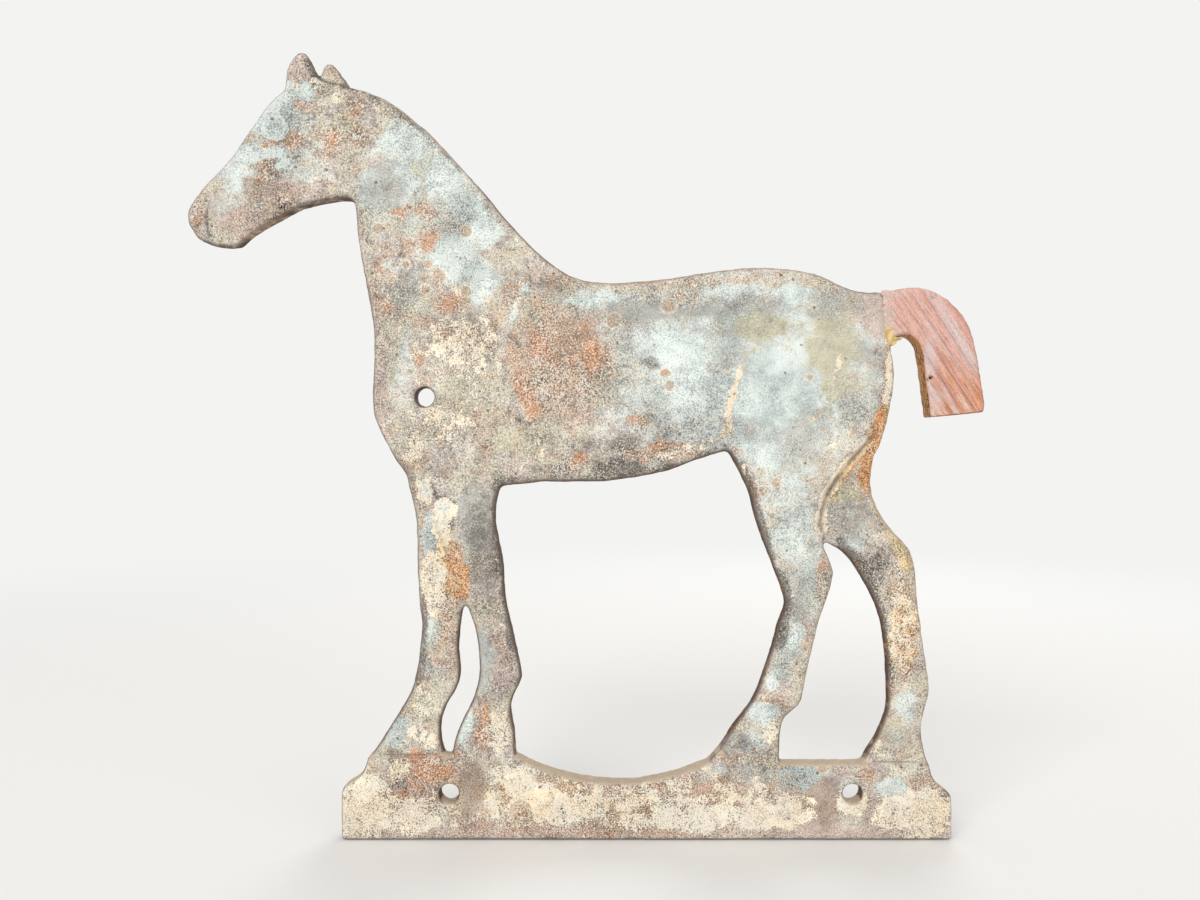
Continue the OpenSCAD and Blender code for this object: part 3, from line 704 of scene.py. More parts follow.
# Bead of glue under the joint, with the height of its middle above the foot of the glue
BEAD_HEIGHT = 2.2 * MM
BEAD_BLOBS = (
    Blob("front of the bead", (-1.4, -4.6, 1.0), (1.9, 1.6, 3.4)),
    Blob("up the dock", (-2.6, -5.2, 5.0), (1.6, 0.9, 3.6)),
    Blob("up the seam", (-0.2, -5.2, 4.2), (1.5, 0.8, 1.8)),
    Blob("under the tail", (2.6, -3.8, 1.4), (3.6, 2.0, 1.0)),
    Blob("middle of the bead", (0.6, 0.0, 0.8), (2.4, 4.6, 1.5)),
    Blob("back of the bead", (0.6, 4.2, 1.2), (2.6, 1.8, 1.7)),
)
# Smear of paint and glue up both faces of the seam and over its top, in millimetres
SMEAR_STEPS = 24
SMEAR_START = 2.0
SMEAR_STOP = 0.6
SMEAR_SIDE = 5.4
SMEAR_LEAN = -0.9
SMEAR_SLOPE = 2.0
SMEAR_OVER_TOP = 9
SMEARED_HEIGHTS = (8.0, 11.0)
GLUE_LUMPS = Lump(0.15, 1.8, 4.9)


class Lamp(NamedTuple):
    """A large square lamp: its place and size in metres, and its power in watts."""

    name: str
    place: tuple
    size: float
    power: float


# Studio, in metres
LAMPS = (
    Lamp("key", (-2.0, -3.3, 2.9), 2.8, 118.0),
    Lamp("fill", (2.8, -2.8, 1.4), 2.8, 30.0),
    Lamp("back", (0.6, 1.6, 1.3), 1.4, 16.0),
)
LAMP_TARGET = (-0.03, 0.0, 0.2)
LIGHT_ALL_ROUND = 0.56
FLOOR_RADIUS = 6.0
FLOOR_GAP = 0.2 * MM
FLOOR_FADE = (0.45, 1.6)
SENSOR_WIDTH = 36.0
NEAREST_SEEN = 0.01


def shade(red, green, blue):
    """Linear colour of an sRGB one given from 0 to 255."""

    def linear(level):
        level /= 255
        return level / 12.92 if level <= 0.04045 else ((level + 0.055) / 1.055) ** 2.4

    return (linear(red), linear(green), linear(blue), 1.0)


def colour(name, description, default):
    """Property that holds a colour."""
    return FloatVectorProperty(
        name=name, description=description, subtype="COLOR", size=4, min=0, max=1, default=default
    )


class CastingSettings(bpy.types.PropertyGroup):
    """Sizes and colours of the iron horse"""

    mesh_size: FloatProperty(
        name="Mesh size", description="Edge length of the casting's mesh",
        default=1.42 * MM, min=1 * MM, max=4 * MM, precision=5, unit="LENGTH",
    )
    smoothing: IntProperty(
        name="Smoothing", description="Passes that soften the cast edges", default=3, min=0
    )
    sand: FloatProperty(
        name="Sand", description="Height of the uneven cast surface",
        default=0.28 * MM, min=0, precision=5, unit="LENGTH",
    )
    ground: colour("Ground", "Worn grey paint", shade(222, 214, 200))
    ground_deep: colour("Deep ground", "Grey paint that is worn thin", shade(190, 179, 164))
    olive: colour("Olive", "Paint with a green-yellow stain", shade(208, 201, 172))
    mauve: colour("Mauve", "Paint with a dull purple stain", shade(196, 184, 180))
    tan: colour("Tan", "Paint with a brown stain", shade(212, 180, 152))
    worn: colour("Worn", "Dull metal between the paint", shade(164, 145, 130))
    cool: colour("Cool paint", "Green-white paint", shade(225, 234, 229))
    cool_deep: colour("Deep cool paint", "Blue-grey paint", shade(204, 213, 209))
    grey: colour("Grey paint", "Smooth blue-grey paint", shade(182, 182, 176))
    cream: colour("Cream paint", "Chalky cream paint", shade(255, 243, 217))
    cream_deep: colour("Deep cream paint", "Yellowed cream paint", shade(247, 226, 196))
    rust: colour("Rust", "Brown rust", shade(180, 148, 124))
    rust_bright: colour("Bright rust", "Orange rust", shade(216, 156, 114))
    primer: colour("Primer", "Pink-brown primer", shade(203, 184, 173))
    # Dark tone for dirt, and also for painted shade along edges and in creases
    grime: colour("Grime", "Dark grime", shade(104, 96, 90))
    iron: colour("Iron", "Bare grey iron", shade(170, 149, 132))
    bloom: colour("Bloom", "Whitest paint", shade(238, 247, 240))
    ochre: colour("Ochre", "Golden stain over the paint", shade(255, 240, 212))
    # Pale crystals, which are also painted glints
    crystal_glint: colour("Crystal", "Pale crystals of old paint", shade(254, 248, 234))
    pit: colour("Pit", "Dark pits", shade(112, 88, 72))
    # Rim and dark rim colour the turned edges: rust there, together with painted shade on the side walls
    rim: colour("Rim", "Brown edge of the casting", shade(116, 90, 74))
    rim_dark: colour("Dark rim", "Dark rust on the edge", shade(72, 53, 43))


class TailSettings(bpy.types.PropertyGroup):
    """Sizes and colours of the wooden tail"""

    mesh_size: FloatProperty(
        name="Mesh size", description="Edge length of the tail's mesh",
        default=0.42 * MM, min=0.3 * MM, max=2 * MM, precision=5, unit="LENGTH",
    )
    scratch: FloatProperty(
        name="Scratch", description="Depth of the fine lines between the carved grooves",
        default=0.22 * MM, min=0, precision=5, unit="LENGTH",
    )
    paint: colour("Paint", "Red-brown paint", shade(228, 180, 164))
    paint_worn: colour("Worn paint", "Orange-brown paint, worn thin", shade(224, 160, 124))
    paint_deep: colour("Deep paint", "Dark red-brown paint", shade(180, 112, 94))
    dust: colour("Dust", "Pale dust in the carving", shade(224, 204, 200))
    # Colour of the carved grooves, which are drawn darker, and of dark specks
    groove: colour("Groove", "Dirt in the grooves", shade(132, 88, 74))
    wood: colour("Wood", "Bare golden-brown wood", shade(204, 150, 92))
    # The near-black inside of the worm hole is painted shade
    hole: colour("Hole", "Inside of the worm hole", shade(46, 30, 24))
    # Dark wood is also used as painted shade on the tail's right and lower edges
    wood_dark: colour("Dark wood", "Stained wood", shade(96, 62, 38))


class GlueSettings(bpy.types.PropertyGroup):
    """Sizes and colours of the glue"""

    mesh_size: FloatProperty(
        name="Mesh size", description="Edge length of the glue's mesh",
        default=0.4 * MM, min=0.2 * MM, max=2 * MM, precision=5, unit="LENGTH",
    )
    amber: colour("Amber", "Yellow glue", shade(226, 198, 136))
    amber_dark: colour("Dark amber", "Dirty glue", shade(178, 142, 88))
    smear_pink: colour("Pink smear", "Paint wiped over the seam", shade(212, 178, 166))
    smear_grey: colour("Grey smear", "Grey paint wiped over the seam", shade(196, 180, 166))


class PinSettings(bpy.types.PropertyGroup):
    """Colour of the hidden pins"""

    steel: colour("Steel", "Plain steel", shade(168, 168, 170))


class StageSettings(bpy.types.PropertyGroup):
    """Camera, light and floor"""

    camera_distance: FloatProperty(
        name="Camera distance", description="From the middle of the horse to the lens",
        default=483 * MM, min=0.1, unit="LENGTH",
    )
    camera_height: FloatProperty(
        name="Camera height", description="Height of the lens above the floor",
        default=207.4 * MM, min=0, unit="LENGTH",
    )
    camera_side: FloatProperty(
        name="Camera side", description="Place of the lens along the horse",
        default=-24.8 * MM, unit="LENGTH",
    )
    lens: FloatProperty(
        name="Lens", description="Focal length in millimetres", default=27.0, min=8, max=200
    )
    floor: colour("Floor", "Pale floor", shade(234, 233, 230))
    backdrop: colour("Backdrop", "Pale backdrop", shade(243, 243, 242))


SETTINGS = {
    "weight_casting": CastingSettings,
    "weight_tail": TailSettings,
    "weight_glue": GlueSettings,
    "weight_pins": PinSettings,
    "weight_stage": StageSettings,
}


def linked(name, data):
    """New object with a mesh, a light or a camera, in the scene."""
    made = bpy.data.objects.new(name, data)
    bpy.context.scene.collection.objects.link(made)
    return made


def fitted(piece, node):
    """Puts a piece on the body, in place of a node."""
    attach(piece, BODY)
    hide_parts(node)


def node_copy(name):
    """Merged copy of a node's mesh, with no material."""
    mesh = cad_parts[name].data.copy()
    mesh.materials.clear()
    shape = bmesh.new()
    shape.from_mesh(mesh)
    bmesh.ops.remove_doubles(shape, verts=shape.verts, dist=MERGE_DISTANCE)
    shape.to_mesh(mesh)
    shape.free()
    return mesh


def evened(piece, size):
    """Gives a piece an even mesh of small squares."""
    coarse = piece.data
    remesh = piece.modifiers.new("Even mesh", "REMESH")
    remesh.mode = "VOXEL"
    remesh.voxel_size = size
    graph = bpy.context.evaluated_depsgraph_get()
    fine = bpy.data.meshes.new_from_object(piece.evaluated_get(graph))
    piece.modifiers.clear()
    piece.data = fine
    bpy.data.meshes.remove(coarse)
    if not fine.polygons:
        raise RuntimeError(piece.name + " lost its faces")


def softened(mesh, passes):
    """Smooths a mesh."""
    shape = bmesh.new()
    shape.from_mesh(mesh)
    for _ in range(passes):
        bmesh.ops.smooth_vert(
            shape, verts=shape.verts, factor=0.5, use_axis_x=True, use_axis_y=True, use_axis_z=True
        )
    shape.to_mesh(mesh)
    shape.free()


def vertex_places(mesh):
    """Places and normals of the vertices."""
    count = len(mesh.vertices)
    places = np.empty(count * 3)
    normals = np.empty(count * 3)
    mesh.vertices.foreach_get("co", places)
    mesh.vertex_normals.foreach_get("vector", normals)
    return places.reshape(-1, 3), normals.reshape(-1, 3)


def set_places(mesh, places):
    """Moves the vertices of a mesh."""
    mesh.vertices.foreach_set("co", places.ravel())
    mesh.update()


def lumpy(places, lumps):
    """Sum of several sizes of noise."""
    return sum(lump.at(places) for lump in lumps)


def side_view(places):
    """X and Z of places in millimetres."""
    return places[:, 0] / MM, places[:, 2] / MM


def outline_warp(places):
    """Shift in side view, in millimetres, that makes the outlines of patches uneven."""
    return np.array([lumpy(places, lumps) for lumps in OUTLINE_LUMPS])


def finish_mask(x, z, warp, marks):
    """Strongest of several patches, whose outlines are warped, and streaks at each point."""
    mask = np.zeros(len(x))
    for mark in marks:
        share = warp if isinstance(mark, Patch) else LINE_WARP * warp
        away = mark.reach(x + share[0], z + share[1])
        mask = np.maximum(mask, mark.amount * smooth_step(1.5, 0.4, away))
    return mask


def hollows(mesh, passes, depth):
    """How far each vertex lies below the smoothed surface, as a share of a depth."""
    places, normals = vertex_places(mesh)
    smooth = mesh.copy()
    softened(smooth, passes)
    level, _ = vertex_places(smooth)
    bpy.data.meshes.remove(smooth)
    return np.clip(((level - places) * normals).sum(axis=1) / depth, -1, 1)


def store(mesh, name, values):
    """Keeps one value for each vertex on the mesh."""
    attribute = mesh.attributes.new(name, "FLOAT", "POINT")
    attribute.data.foreach_set("value", values.astype(np.float32))


def feed(tree, socket, value):
    """Gives an input a value, or links it to a socket."""
    if isinstance(value, bpy.types.NodeSocket):
        tree.links.new(value, socket)
    else:
        socket.default_value = value


def add(tree, kind, inputs=None, **settings):
    """Node with its settings, and its inputs given as values or as sockets to link."""
    made = tree.nodes.new(kind)
    for key, value in settings.items():
        setattr(made, key, value)
    for key, value in (inputs or {}).items():
        feed(tree, made.inputs[key], value)
    return made


def calc(tree, operation, first, second=0.0, third=0.0):
    """Result of a sum on numbers."""
    given = {0: first, 1: second, 2: third}
    return add(tree, "ShaderNodeMath", given, operation=operation).outputs[0]


def plus(tree, start, value, share):
    """A start with a share of a value added to it."""
    return calc(tree, "MULTIPLY_ADD", value, share, start)


def partly(tree, mask, share):
    """Share of a mask."""
    return calc(tree, "MULTIPLY", mask, share)


def centred(tree, value):
    """Noise from 0 to 1, moved so that its middle is 0."""
    return calc(tree, "SUBTRACT", value, 0.5)


def blend(tree, share, first, second, kind="MIX"):
    """Mix of two colours."""
    mix = add(tree, "ShaderNodeMix", data_type="RGBA", blend_type=kind)
    for key, value in (("Factor_Float", share), ("A_Color", first), ("B_Color", second)):
        feed(tree, next(s for s in mix.inputs if s.identifier == key), value)
    return next(s for s in mix.outputs if s.identifier == "Result_Color")


def ramp(tree, value, low, high):
    """Soft step of a value from low to high."""
    step = add(
        tree, "ShaderNodeMapRange", {"Value": value, "From Min": low, "From Max": high},
        interpolation_type="SMOOTHSTEP",
    )
    return step.outputs["Result"]


def cloud(tree, vector, scale, detail=3.0, rough_share=0.6, twist=0.0):
    """Noise from 0 to 1."""
    made = add(
        tree, "ShaderNodeTexNoise",
        {
            "Vector": vector, "Scale": scale, "Detail": detail,
            "Roughness": rough_share, "Distortion": twist,
        },
    )
    return made.outputs["Fac"]


def cells(tree, vector, scale):
    """Outputs of a pattern of cells, with their colours and the distance to their middles."""
    given = {"Vector": vector, "Scale": scale, "Randomness": 1.0}
    return add(tree, "ShaderNodeTexVoronoi", given).outputs


def new_group(name, inputs, outputs):
    """Empty shader group with its sockets, given as (name, kind, default)."""
    tree = bpy.data.node_groups.new(name, "ShaderNodeTree")
    for label, kind, default in inputs:
        socket = tree.interface.new_socket(name=label, in_out="INPUT", socket_type=kind)
        if default is not None:
            socket.default_value = default
    for label, kind in outputs:
        tree.interface.new_socket(name=label, in_out="OUTPUT", socket_type=kind)
    return tree, tree.nodes.new("NodeGroupInput").outputs, tree.nodes.new("NodeGroupOutput").inputs


def broken_group():
    """Group that breaks up a soft patch into blotches."""
    name = "Broken patch"
    if name in bpy.data.node_groups:
        return bpy.data.node_groups[name]
    tree, given, result = new_group(
        name,
        (
            ("Vector", "NodeSocketVector", None),
            ("Patch", "NodeSocketFloat", 0.0),
            ("Shift", "NodeSocketFloat", 0.0),
        ),
        (("Mask", "NodeSocketFloat"),),
    )
    moved = add(tree, "ShaderNodeVectorMath", {0: given["Vector"], 1: given["Shift"]}, operation="ADD")
    blotch = centred(tree, cloud(tree, moved.outputs[0], 150.0, 5.0, 0.7, 0.3))
    total = plus(tree, given["Patch"], blotch, 1.4)
    tree.links.new(ramp(tree, total, 0.14, 0.8), result["Mask"])
    return tree


def grain_group():
    """Group of grains: a height about 0, and masks of pale crystals and dark pits."""
    name = "Grain"
    if name in bpy.data.node_groups:
        return bpy.data.node_groups[name]
    tree, given, result = new_group(
        name,
        (
            ("Vector", "NodeSocketVector", None),
            ("Scale", "NodeSocketFloat", 1000.0),
            ("More pale", "NodeSocketFloat", 0.0),
            ("More dark", "NodeSocketFloat", 0.0),
        ),
        (
            ("Height", "NodeSocketFloat"),
            ("Pale", "NodeSocketFloat"),
            ("Dark", "NodeSocketFloat"),
        ),
    )
    fine = cloud(tree, given["Vector"], given["Scale"], 3.0, 0.72)
    coarse = cloud(tree, given["Vector"], partly(tree, given["Scale"], 0.31), 2.0, 0.6)
    moved = add(tree, "ShaderNodeVectorMath", {0: given["Vector"], 1: (3.1, 1.7, 2.3)}, operation="ADD")
    pores = cloud(tree, moved.outputs[0], partly(tree, given["Scale"], 0.8), 2.0, 0.6)
    height = plus(tree, partly(tree, centred(tree, coarse), 0.7), centred(tree, fine), 4.4)
    pale = calc(tree, "ADD", fine, given["More pale"])
    dark = calc(tree, "SUBTRACT", pores, given["More dark"])
    tree.links.new(height, result["Height"])
    tree.links.new(ramp(tree, pale, 0.57, 0.65), result["Pale"])
    tree.links.new(ramp(tree, dark, 0.36, 0.28), result["Dark"])
    return tree


def placed_group(tree, group, inputs):
    """Outputs of a node that uses a group."""
    return add(tree, "ShaderNodeGroup", inputs, node_tree=group).outputs


def kept(tree, name):
    """Value that the mesh keeps under a name."""
    return add(tree, "ShaderNodeAttribute", attribute_name=name).outputs["Fac"]


def new_material(name, specular):
    """Material with a shader, its tree and its object coordinates."""
    material = bpy.data.materials.new(name)
    material.use_nodes = True
    tree = material.node_tree
    shader = tree.nodes["Principled BSDF"]
    shader.inputs["Specular IOR Level"].default_value = specular
    place = tree.nodes.new("ShaderNodeTexCoord").outputs["Object"]
    return material, tree, shader, place


def bumped(tree, shader, height, distance, strength):
    """Gives a shader bump."""
    bump = add(tree, "ShaderNodeBump", {"Height": height, "Distance": distance, "Strength": strength})
    tree.links.new(bump.outputs["Normal"], shader.inputs["Normal"])


def rim_share(tree):
    """Share of the surface's turn away from the two flat faces."""
    normal = tree.nodes.new("ShaderNodeNewGeometry").outputs["Normal"]
    across = add(tree, "ShaderNodeSeparateXYZ", {0: normal}).outputs["Y"]
    return calc(tree, "SUBTRACT", 1.0, calc(tree, "ABSOLUTE", across))


class Skin:
    """Colour of a material, built up in coats."""

    def __init__(self, tree, first):
        self.tree = tree
        self.colour = first

    def coat(self, mask, share, tone):
        """Lays a tone over the colour where a mask says, at a share of full strength."""
        self.colour = blend(self.tree, partly(self.tree, mask, share), self.colour, tone)

    def tint(self, level, share=1.0):
        """Multiplies the colour by a level or by a tone."""
        self.colour = blend(self.tree, share, self.colour, level, "MULTIPLY")


class IronSkin(Skin):
    """Colour of old cast iron, from the paint to the rim, and the height for its bump."""

    def __init__(self, tree, place, tones):
        self.place = place
        self.tones = tones
        self.broad = centred(tree, cloud(tree, place, 34.0, 3.0, 0.6, 0.4))
        self.blotch = cloud(tree, place, 150.0, 5.0, 0.68, 0.3)
        self.stain = cloud(tree, place, 62.0, 3.0, 0.62, 0.5)
        self.brownish = cloud(tree, place, 120.0, 4.0, 0.65, 0.4)
        self.masks = {}
        for name, shift in BROKEN_SHIFTS.items():
            given = {"Vector": place, "Patch": kept(tree, name), "Shift": shift}
            self.masks[name] = placed_group(tree, broken_group(), given)["Mask"]
        even = ramp(tree, self.broad, -0.16, 0.16)
        super().__init__(tree, blend(tree, even, tones.ground_deep, tones.ground))
        self.set_grain()

    def raised(self, value, changes):
        """Value that the masks of several finishes raise or lower."""
        for name, change in changes.items():
            value = plus(self.tree, value, self.masks[name], change)
        return value

    def set_grain(self):
        """Grain and mottle, which are quieter on smooth paint."""
        tree = self.tree
        self.busy = plus(tree, self.raised(1.0, {"cool_paint": -0.15}), kept(tree, "smooth_paint"), -0.6)
        pale = plus(tree, 0.02, centred(tree, self.stain), 0.3)
        dark = plus(tree, self.raised(0.02, {"cool_paint": -0.06}), self.broad, 0.2)
        given = {
            "Vector": self.place,
            "Scale": 1250.0,
            "More pale": self.raised(pale, MORE_CRYSTAL_GLINTS),
            "More dark": self.raised(dark, {"cream_paint": -0.02}),
        }
        self.grain = placed_group(tree, grain_group(), given)
        self.grit = partly(tree, self.grain["Height"], self.busy)
        self.mottle = partly(tree, centred(tree, self.blotch), self.busy)

    def on_grain(self, name, share):
        """Value kept on the mesh, broken up by the grain."""
        return plus(self.tree, kept(self.tree, name), self.grain["Height"], share)

    def on_mottle(self, name, share):
        """Value kept on the mesh, broken up by the mottle."""
        return plus(self.tree, kept(self.tree, name), self.mottle, share)

    def paint(self):
        """Worn paint in its several tints, down to the dull metal."""
        tree, tones, masks = self.tree, self.tones, self.masks
        self.coat(ramp(tree, self.stain, 0.5, 0.62), 0.6, tones.olive)
        self.coat(ramp(tree, self.stain, 0.5, 0.38), 0.6, tones.mauve)
        cool = blend(tree, ramp(tree, self.broad, -0.12, 0.12), tones.cool_deep, tones.cool)
        self.coat(masks["cool_paint"], 1.0, cool)
        self.coat(masks["olive_stain"], 0.85, tones.olive)
        self.coat(masks["grey_paint"], 0.85, tones.grey)
        warm = partly(tree, self.busy, self.raised(0.6, {"cool_paint": -0.55}))
        self.coat(ramp(tree, self.brownish, 0.5, 0.64), warm, tones.tan)
        thin = plus(tree, calc(tree, "ADD", self.mottle, 0.5), self.grit, -0.16)
        self.coat(ramp(tree, thin, 0.48, 0.28), self.raised(0.8, {"cool_paint": -0.5}), tones.worn)

    def rust(self):
        """Primer, rust, bare iron, and dark marks that are partly dirt and partly painted shade."""
        tree, tones, masks = self.tree, self.tones, self.masks
        mixed = partly(tree, ramp(tree, self.brownish, 0.44, 0.6), 0.7)
        self.coat(masks["primer"], 0.85, tones.primer)
        self.coat(masks["rust"], 0.85, blend(tree, mixed, tones.rust, tones.rust_bright))
        self.coat(masks["orange_rust"], 0.8, tones.rust_bright)
        self.coat(masks["bare_iron"], 1.0, tones.iron)
        # Dark marks: dirt in places, and painted shade along edges elsewhere
        self.coat(masks["grime"], 0.75, tones.grime)

    def flakes(self):
        """Chalky cream paint in flakes, and round spots of rust with a pale ring."""
        tree, tones = self.tree, self.tones
        cover = plus(tree, partly(tree, self.grit, 0.85), self.mottle, 2.8)
        self.flake = ramp(tree, self.raised(cover, FLAKE_COVER), 0.36, 0.62)
        chalk = blend(tree, ramp(tree, self.broad, -0.12, 0.12), tones.cream_deep, tones.cream)
        self.coat(self.flake, 0.92, chalk)
        spot = self.on_grain("spot", 0.08)
        self.coat(ramp(tree, spot, 0.08, 0.28), 0.4, tones.cream)
        self.coat(ramp(tree, spot, 0.3, 0.6), 0.65, tones.rust)
        self.coat(ramp(tree, spot, 1.0, 1.3), 0.7, tones.rust)

    def blisters(self):
        """Rusty blisters with a pale crater round them, and the places of the pits."""
        tree, tones = self.tree, self.tones
        bumps = cells(tree, self.place, 95.0)
        chosen = add(tree, "ShaderNodeSeparateColor", {0: bumps["Color"]}).outputs[0]
        chosen = partly(tree, ramp(tree, chosen, 0.6, 0.66), kept(tree, "blister"))
        away = plus(tree, bumps["Distance"], self.grain["Height"], 0.04)
        self.blister = partly(tree, ramp(tree, away, 0.26, 0.2), chosen)
        crater = partly(tree, ramp(tree, away, 0.2, 0.25), ramp(tree, away, 0.34, 0.28))
        self.coat(self.blister, 0.5, tones.rust)
        self.coat(partly(tree, crater, chosen), 0.45, tones.cream)
        near = ramp(tree, cells(tree, self.place, 170.0)["Distance"], 0.2, 0.1)
        self.pit = partly(tree, near, ramp(tree, self.blotch, 0.5, 0.6))

    def uneven_light(self):
        """Light and dark of all sizes, quieter on the flakes."""
        tree = self.tree
        light = partly(tree, self.broad, 1.25)
        light = plus(tree, light, self.mottle, 1.3)
        light = plus(tree, light, self.grit, 1.05)
        level = plus(tree, 1.04, light, plus(tree, 1.0, self.flake, -0.2))
        self.tint(plus(tree, level, self.flake, 0.05))

    def specks(self):
        """White bloom, pale crystals that are also painted glints, and dark pits, and the golden stain
        over them.
        """
        tree, tones = self.tree, self.tones
        bloom = plus(tree, self.masks["bloom"], self.grain["Height"], 0.6)
        self.coat(ramp(tree, bloom, 0.45, 1.0), 0.7, tones.bloom)
        crisp = partly(tree, self.busy, 0.9)
        # Pale crystals, also painted as glints
        self.coat(self.grain["Pale"], crisp, tones.crystal_glint)
        self.coat(self.grain["Dark"], crisp, tones.pit)
        self.coat(self.pit, 0.85, tones.pit)
        self.tint(tones.ochre, self.masks["ochre"])

    def rim(self):
        """Brown rust on the edge with painted shade on the side walls, a golden painted highlight in
        places where the edge faces the light, painted light on the ledges, and painted shade in the
        creases.
        """
        tree, tones = self.tree, self.tones
        # Edges turned away from the flat faces: brown and dark rust, together with painted shade on the
        # side walls
        turn = plus(tree, rim_share(tree), self.grain["Height"], 0.14)
        # Golden painted highlight on the edges that face the light
        golden = partly(tree, ramp(tree, self.on_mottle("lip", 1.2), 0.15, 0.75), 0.85)
        rusty = partly(tree, ramp(tree, self.blotch, 0.52, 0.66), 0.6)
        edge = blend(tree, rusty, tones.rim_dark, tones.rust_bright)
        self.coat(ramp(tree, turn, 0.1, 0.46), 0.75, blend(tree, golden, tones.rim, tones.tan))
        self.coat(ramp(tree, turn, 0.42, 0.85), 0.85, edge)
        # Painted light on the ledges, in pale cream
        self.coat(ramp(tree, self.on_mottle("ledge", 2.0), 0.2, 0.9), 0.55, tones.cream_deep)
        # Painted shade in the creases
        self.coat(ramp(tree, self.on_grain("crease", 0.15), 0.2, 0.9), 0.75, tones.grime)
        self.coat(kept(tree, "dock"), 0.9, tones.primer)

    def height(self):
        """Height of the surface for its bump."""
        height = plus(self.tree, self.grain["Height"], self.pit, -1.0)
        height = plus(self.tree, height, self.blister, 0.6)
        return plus(self.tree, height, self.flake, 0.7)


def iron_material(tones):
    """Old cast iron: patches of paint and rust, crisp crystals and pits, blisters and a brown rim."""
    material, tree, shader, place = new_material("weathered_iron", 0.3)
    skin = IronSkin(tree, place, tones)
    skin.paint()
    skin.rust()
    skin.flakes()
    skin.blisters()
    skin.uneven_light()
    skin.specks()
    skin.rim()
    tree.links.new(skin.colour, shader.inputs["Base Color"])
    tree.links.new(skin.raised(0.7, {"rust": 0.14}), shader.inputs["Roughness"])
    bumped(tree, shader, skin.height(), 0.3 * MM, 0.8)
    return material


def wood_material(tones):
    """Carved wood under thin red-brown paint, bare at its edges."""
    material, tree, shader, place = new_material("painted_wood", 0.25)
    grain = placed_group(tree, grain_group(), {"Vector": place, "Scale": 1300.0})
    fibre = {
        "Vector": place,
        "Rotation": (0.0, CARVING_SLOPE - math.pi / 2, 0.0),
        "Scale": (1.0, 1.0, FIBRE_STRETCH),
    }
    along = add(tree, "ShaderNodeMapping", fibre, vector_type="TEXTURE").outputs[0]
    strand = cloud(tree, along, 1100.0, 3.0, 0.7)
    band = cloud(tree, along, 330.0, 2.0, 0.6)
    veil = cloud(tree, along, 150.0, 3.0, 0.65)
    broken = cloud(tree, along, 700.0, 4.0, 0.7)
    broad = cloud(tree, place, 75.0, 3.0, 0.6)
    streaks = centred(tree, band)

    worn = ramp(tree, plus(tree, kept(tree, "worn"), streaks, 3.2), 0.25, 0.85)
    skin = Skin(tree, blend(tree, worn, tones.paint, tones.paint_worn))
    skin.coat(ramp(tree, strand, 0.48, 0.32), 0.75, tones.paint_deep)
    skin.coat(ramp(tree, band, 0.54, 0.64), 0.8, tones.dust)
    skin.coat(ramp(tree, strand, 0.58, 0.72), 0.5, tones.dust)
    skin.coat(ramp(tree, veil, 0.5, 0.62), 0.5, tones.dust)
    skin.coat(ramp(tree, veil, 0.46, 0.36), 0.45, tones.paint_deep)
    dusty = plus(tree, kept(tree, "dusty"), centred(tree, broad), 0.8)
    dusty = plus(tree, dusty, streaks, 1.5)
    skin.coat(ramp(tree, dusty, 0.2, 0.8), 0.75, tones.dust)
    # The carved grooves are drawn darker
    skin.coat(kept(tree, "carved"), 0.8, tones.groove)
    edge = ramp(tree, plus(tree, kept(tree, "bare"), grain["Height"], 0.12), 0.3, 0.6)
    speckle = ramp(tree, plus(tree, broken, grain["Height"], 0.1), 0.38, 0.58)
    skin.coat(edge, 1.0, blend(tree, speckle, tones.wood_dark, tones.wood))
    skin.tint(plus(tree, 0.98, grain["Height"], 0.22))
    skin.coat(grain["Dark"], 0.3, tones.groove)
    skin.coat(grain["Pale"], 0.2, tones.dust)
    # Painted shade on the right and lower edges
    skin.coat(kept(tree, "outline"), 0.75, tones.wood_dark)
    # Painted shade inside the worm hole
    skin.coat(kept(tree, "bored"), 1.0, tones.hole)
    tree.links.new(skin.colour, shader.inputs["Base Color"])
    shader.inputs["Roughness"].default_value = 0.72
    bumped(tree, shader, plus(tree, grain["Height"], strand, 1.6), 0.25 * MM, 0.6)
    return material


def glue_material(tones):
    """Hardened yellow glue, dirty in places, with paint wiped over its upper part."""
    material, tree, shader, place = new_material("glue", 0.5)
    grain = placed_group(tree, grain_group(), {"Vector": place, "Scale": 900.0})
    lumps = cloud(tree, place, 320.0, 3.0, 0.6)
    dirt = ramp(tree, lumps, 0.45, 0.65)
    smear = Skin(tree, blend(tree, ramp(tree, lumps, 0.4, 0.6), tones.smear_grey, tones.smear_pink))
    smear.tint(plus(tree, 1.0, grain["Height"], 0.3))
    skin = Skin(tree, tones.amber)
    skin.coat(dirt, 0.7, tones.amber_dark)
    skin.coat(grain["Dark"], 0.25, tones.amber_dark)
    skin.coat(kept(tree, "smeared"), 1.0, smear.colour)
    tree.links.new(skin.colour, shader.inputs["Base Color"])
    tree.links.new(plus(tree, 0.38, dirt, 0.25), shader.inputs["Roughness"])
    bumped(tree, shader, grain["Height"], 0.15 * MM, 0.4)
    return material


def steel_material(tones):
    """Plain drawn steel."""
    material, tree, shader, place = new_material("pin_steel", 0.5)
    drawn = add(tree, "ShaderNodeMapping", {"Vector": place, "Scale": (0.05, 1.0, 1.0)}).outputs[0]
    lines = cloud(tree, drawn, 2400.0, 2.0, 0.6)
    dark = [0.6 * level for level in tones.steel[:3]] + [1.0]
    tree.links.new(blend(tree, lines, dark, tones.steel), shader.inputs["Base Color"])
    shader.inputs["Metallic"].default_value = 1.0
    tree.links.new(plus(tree, 0.3, lines, 0.2), shader.inputs["Roughness"])
    return material


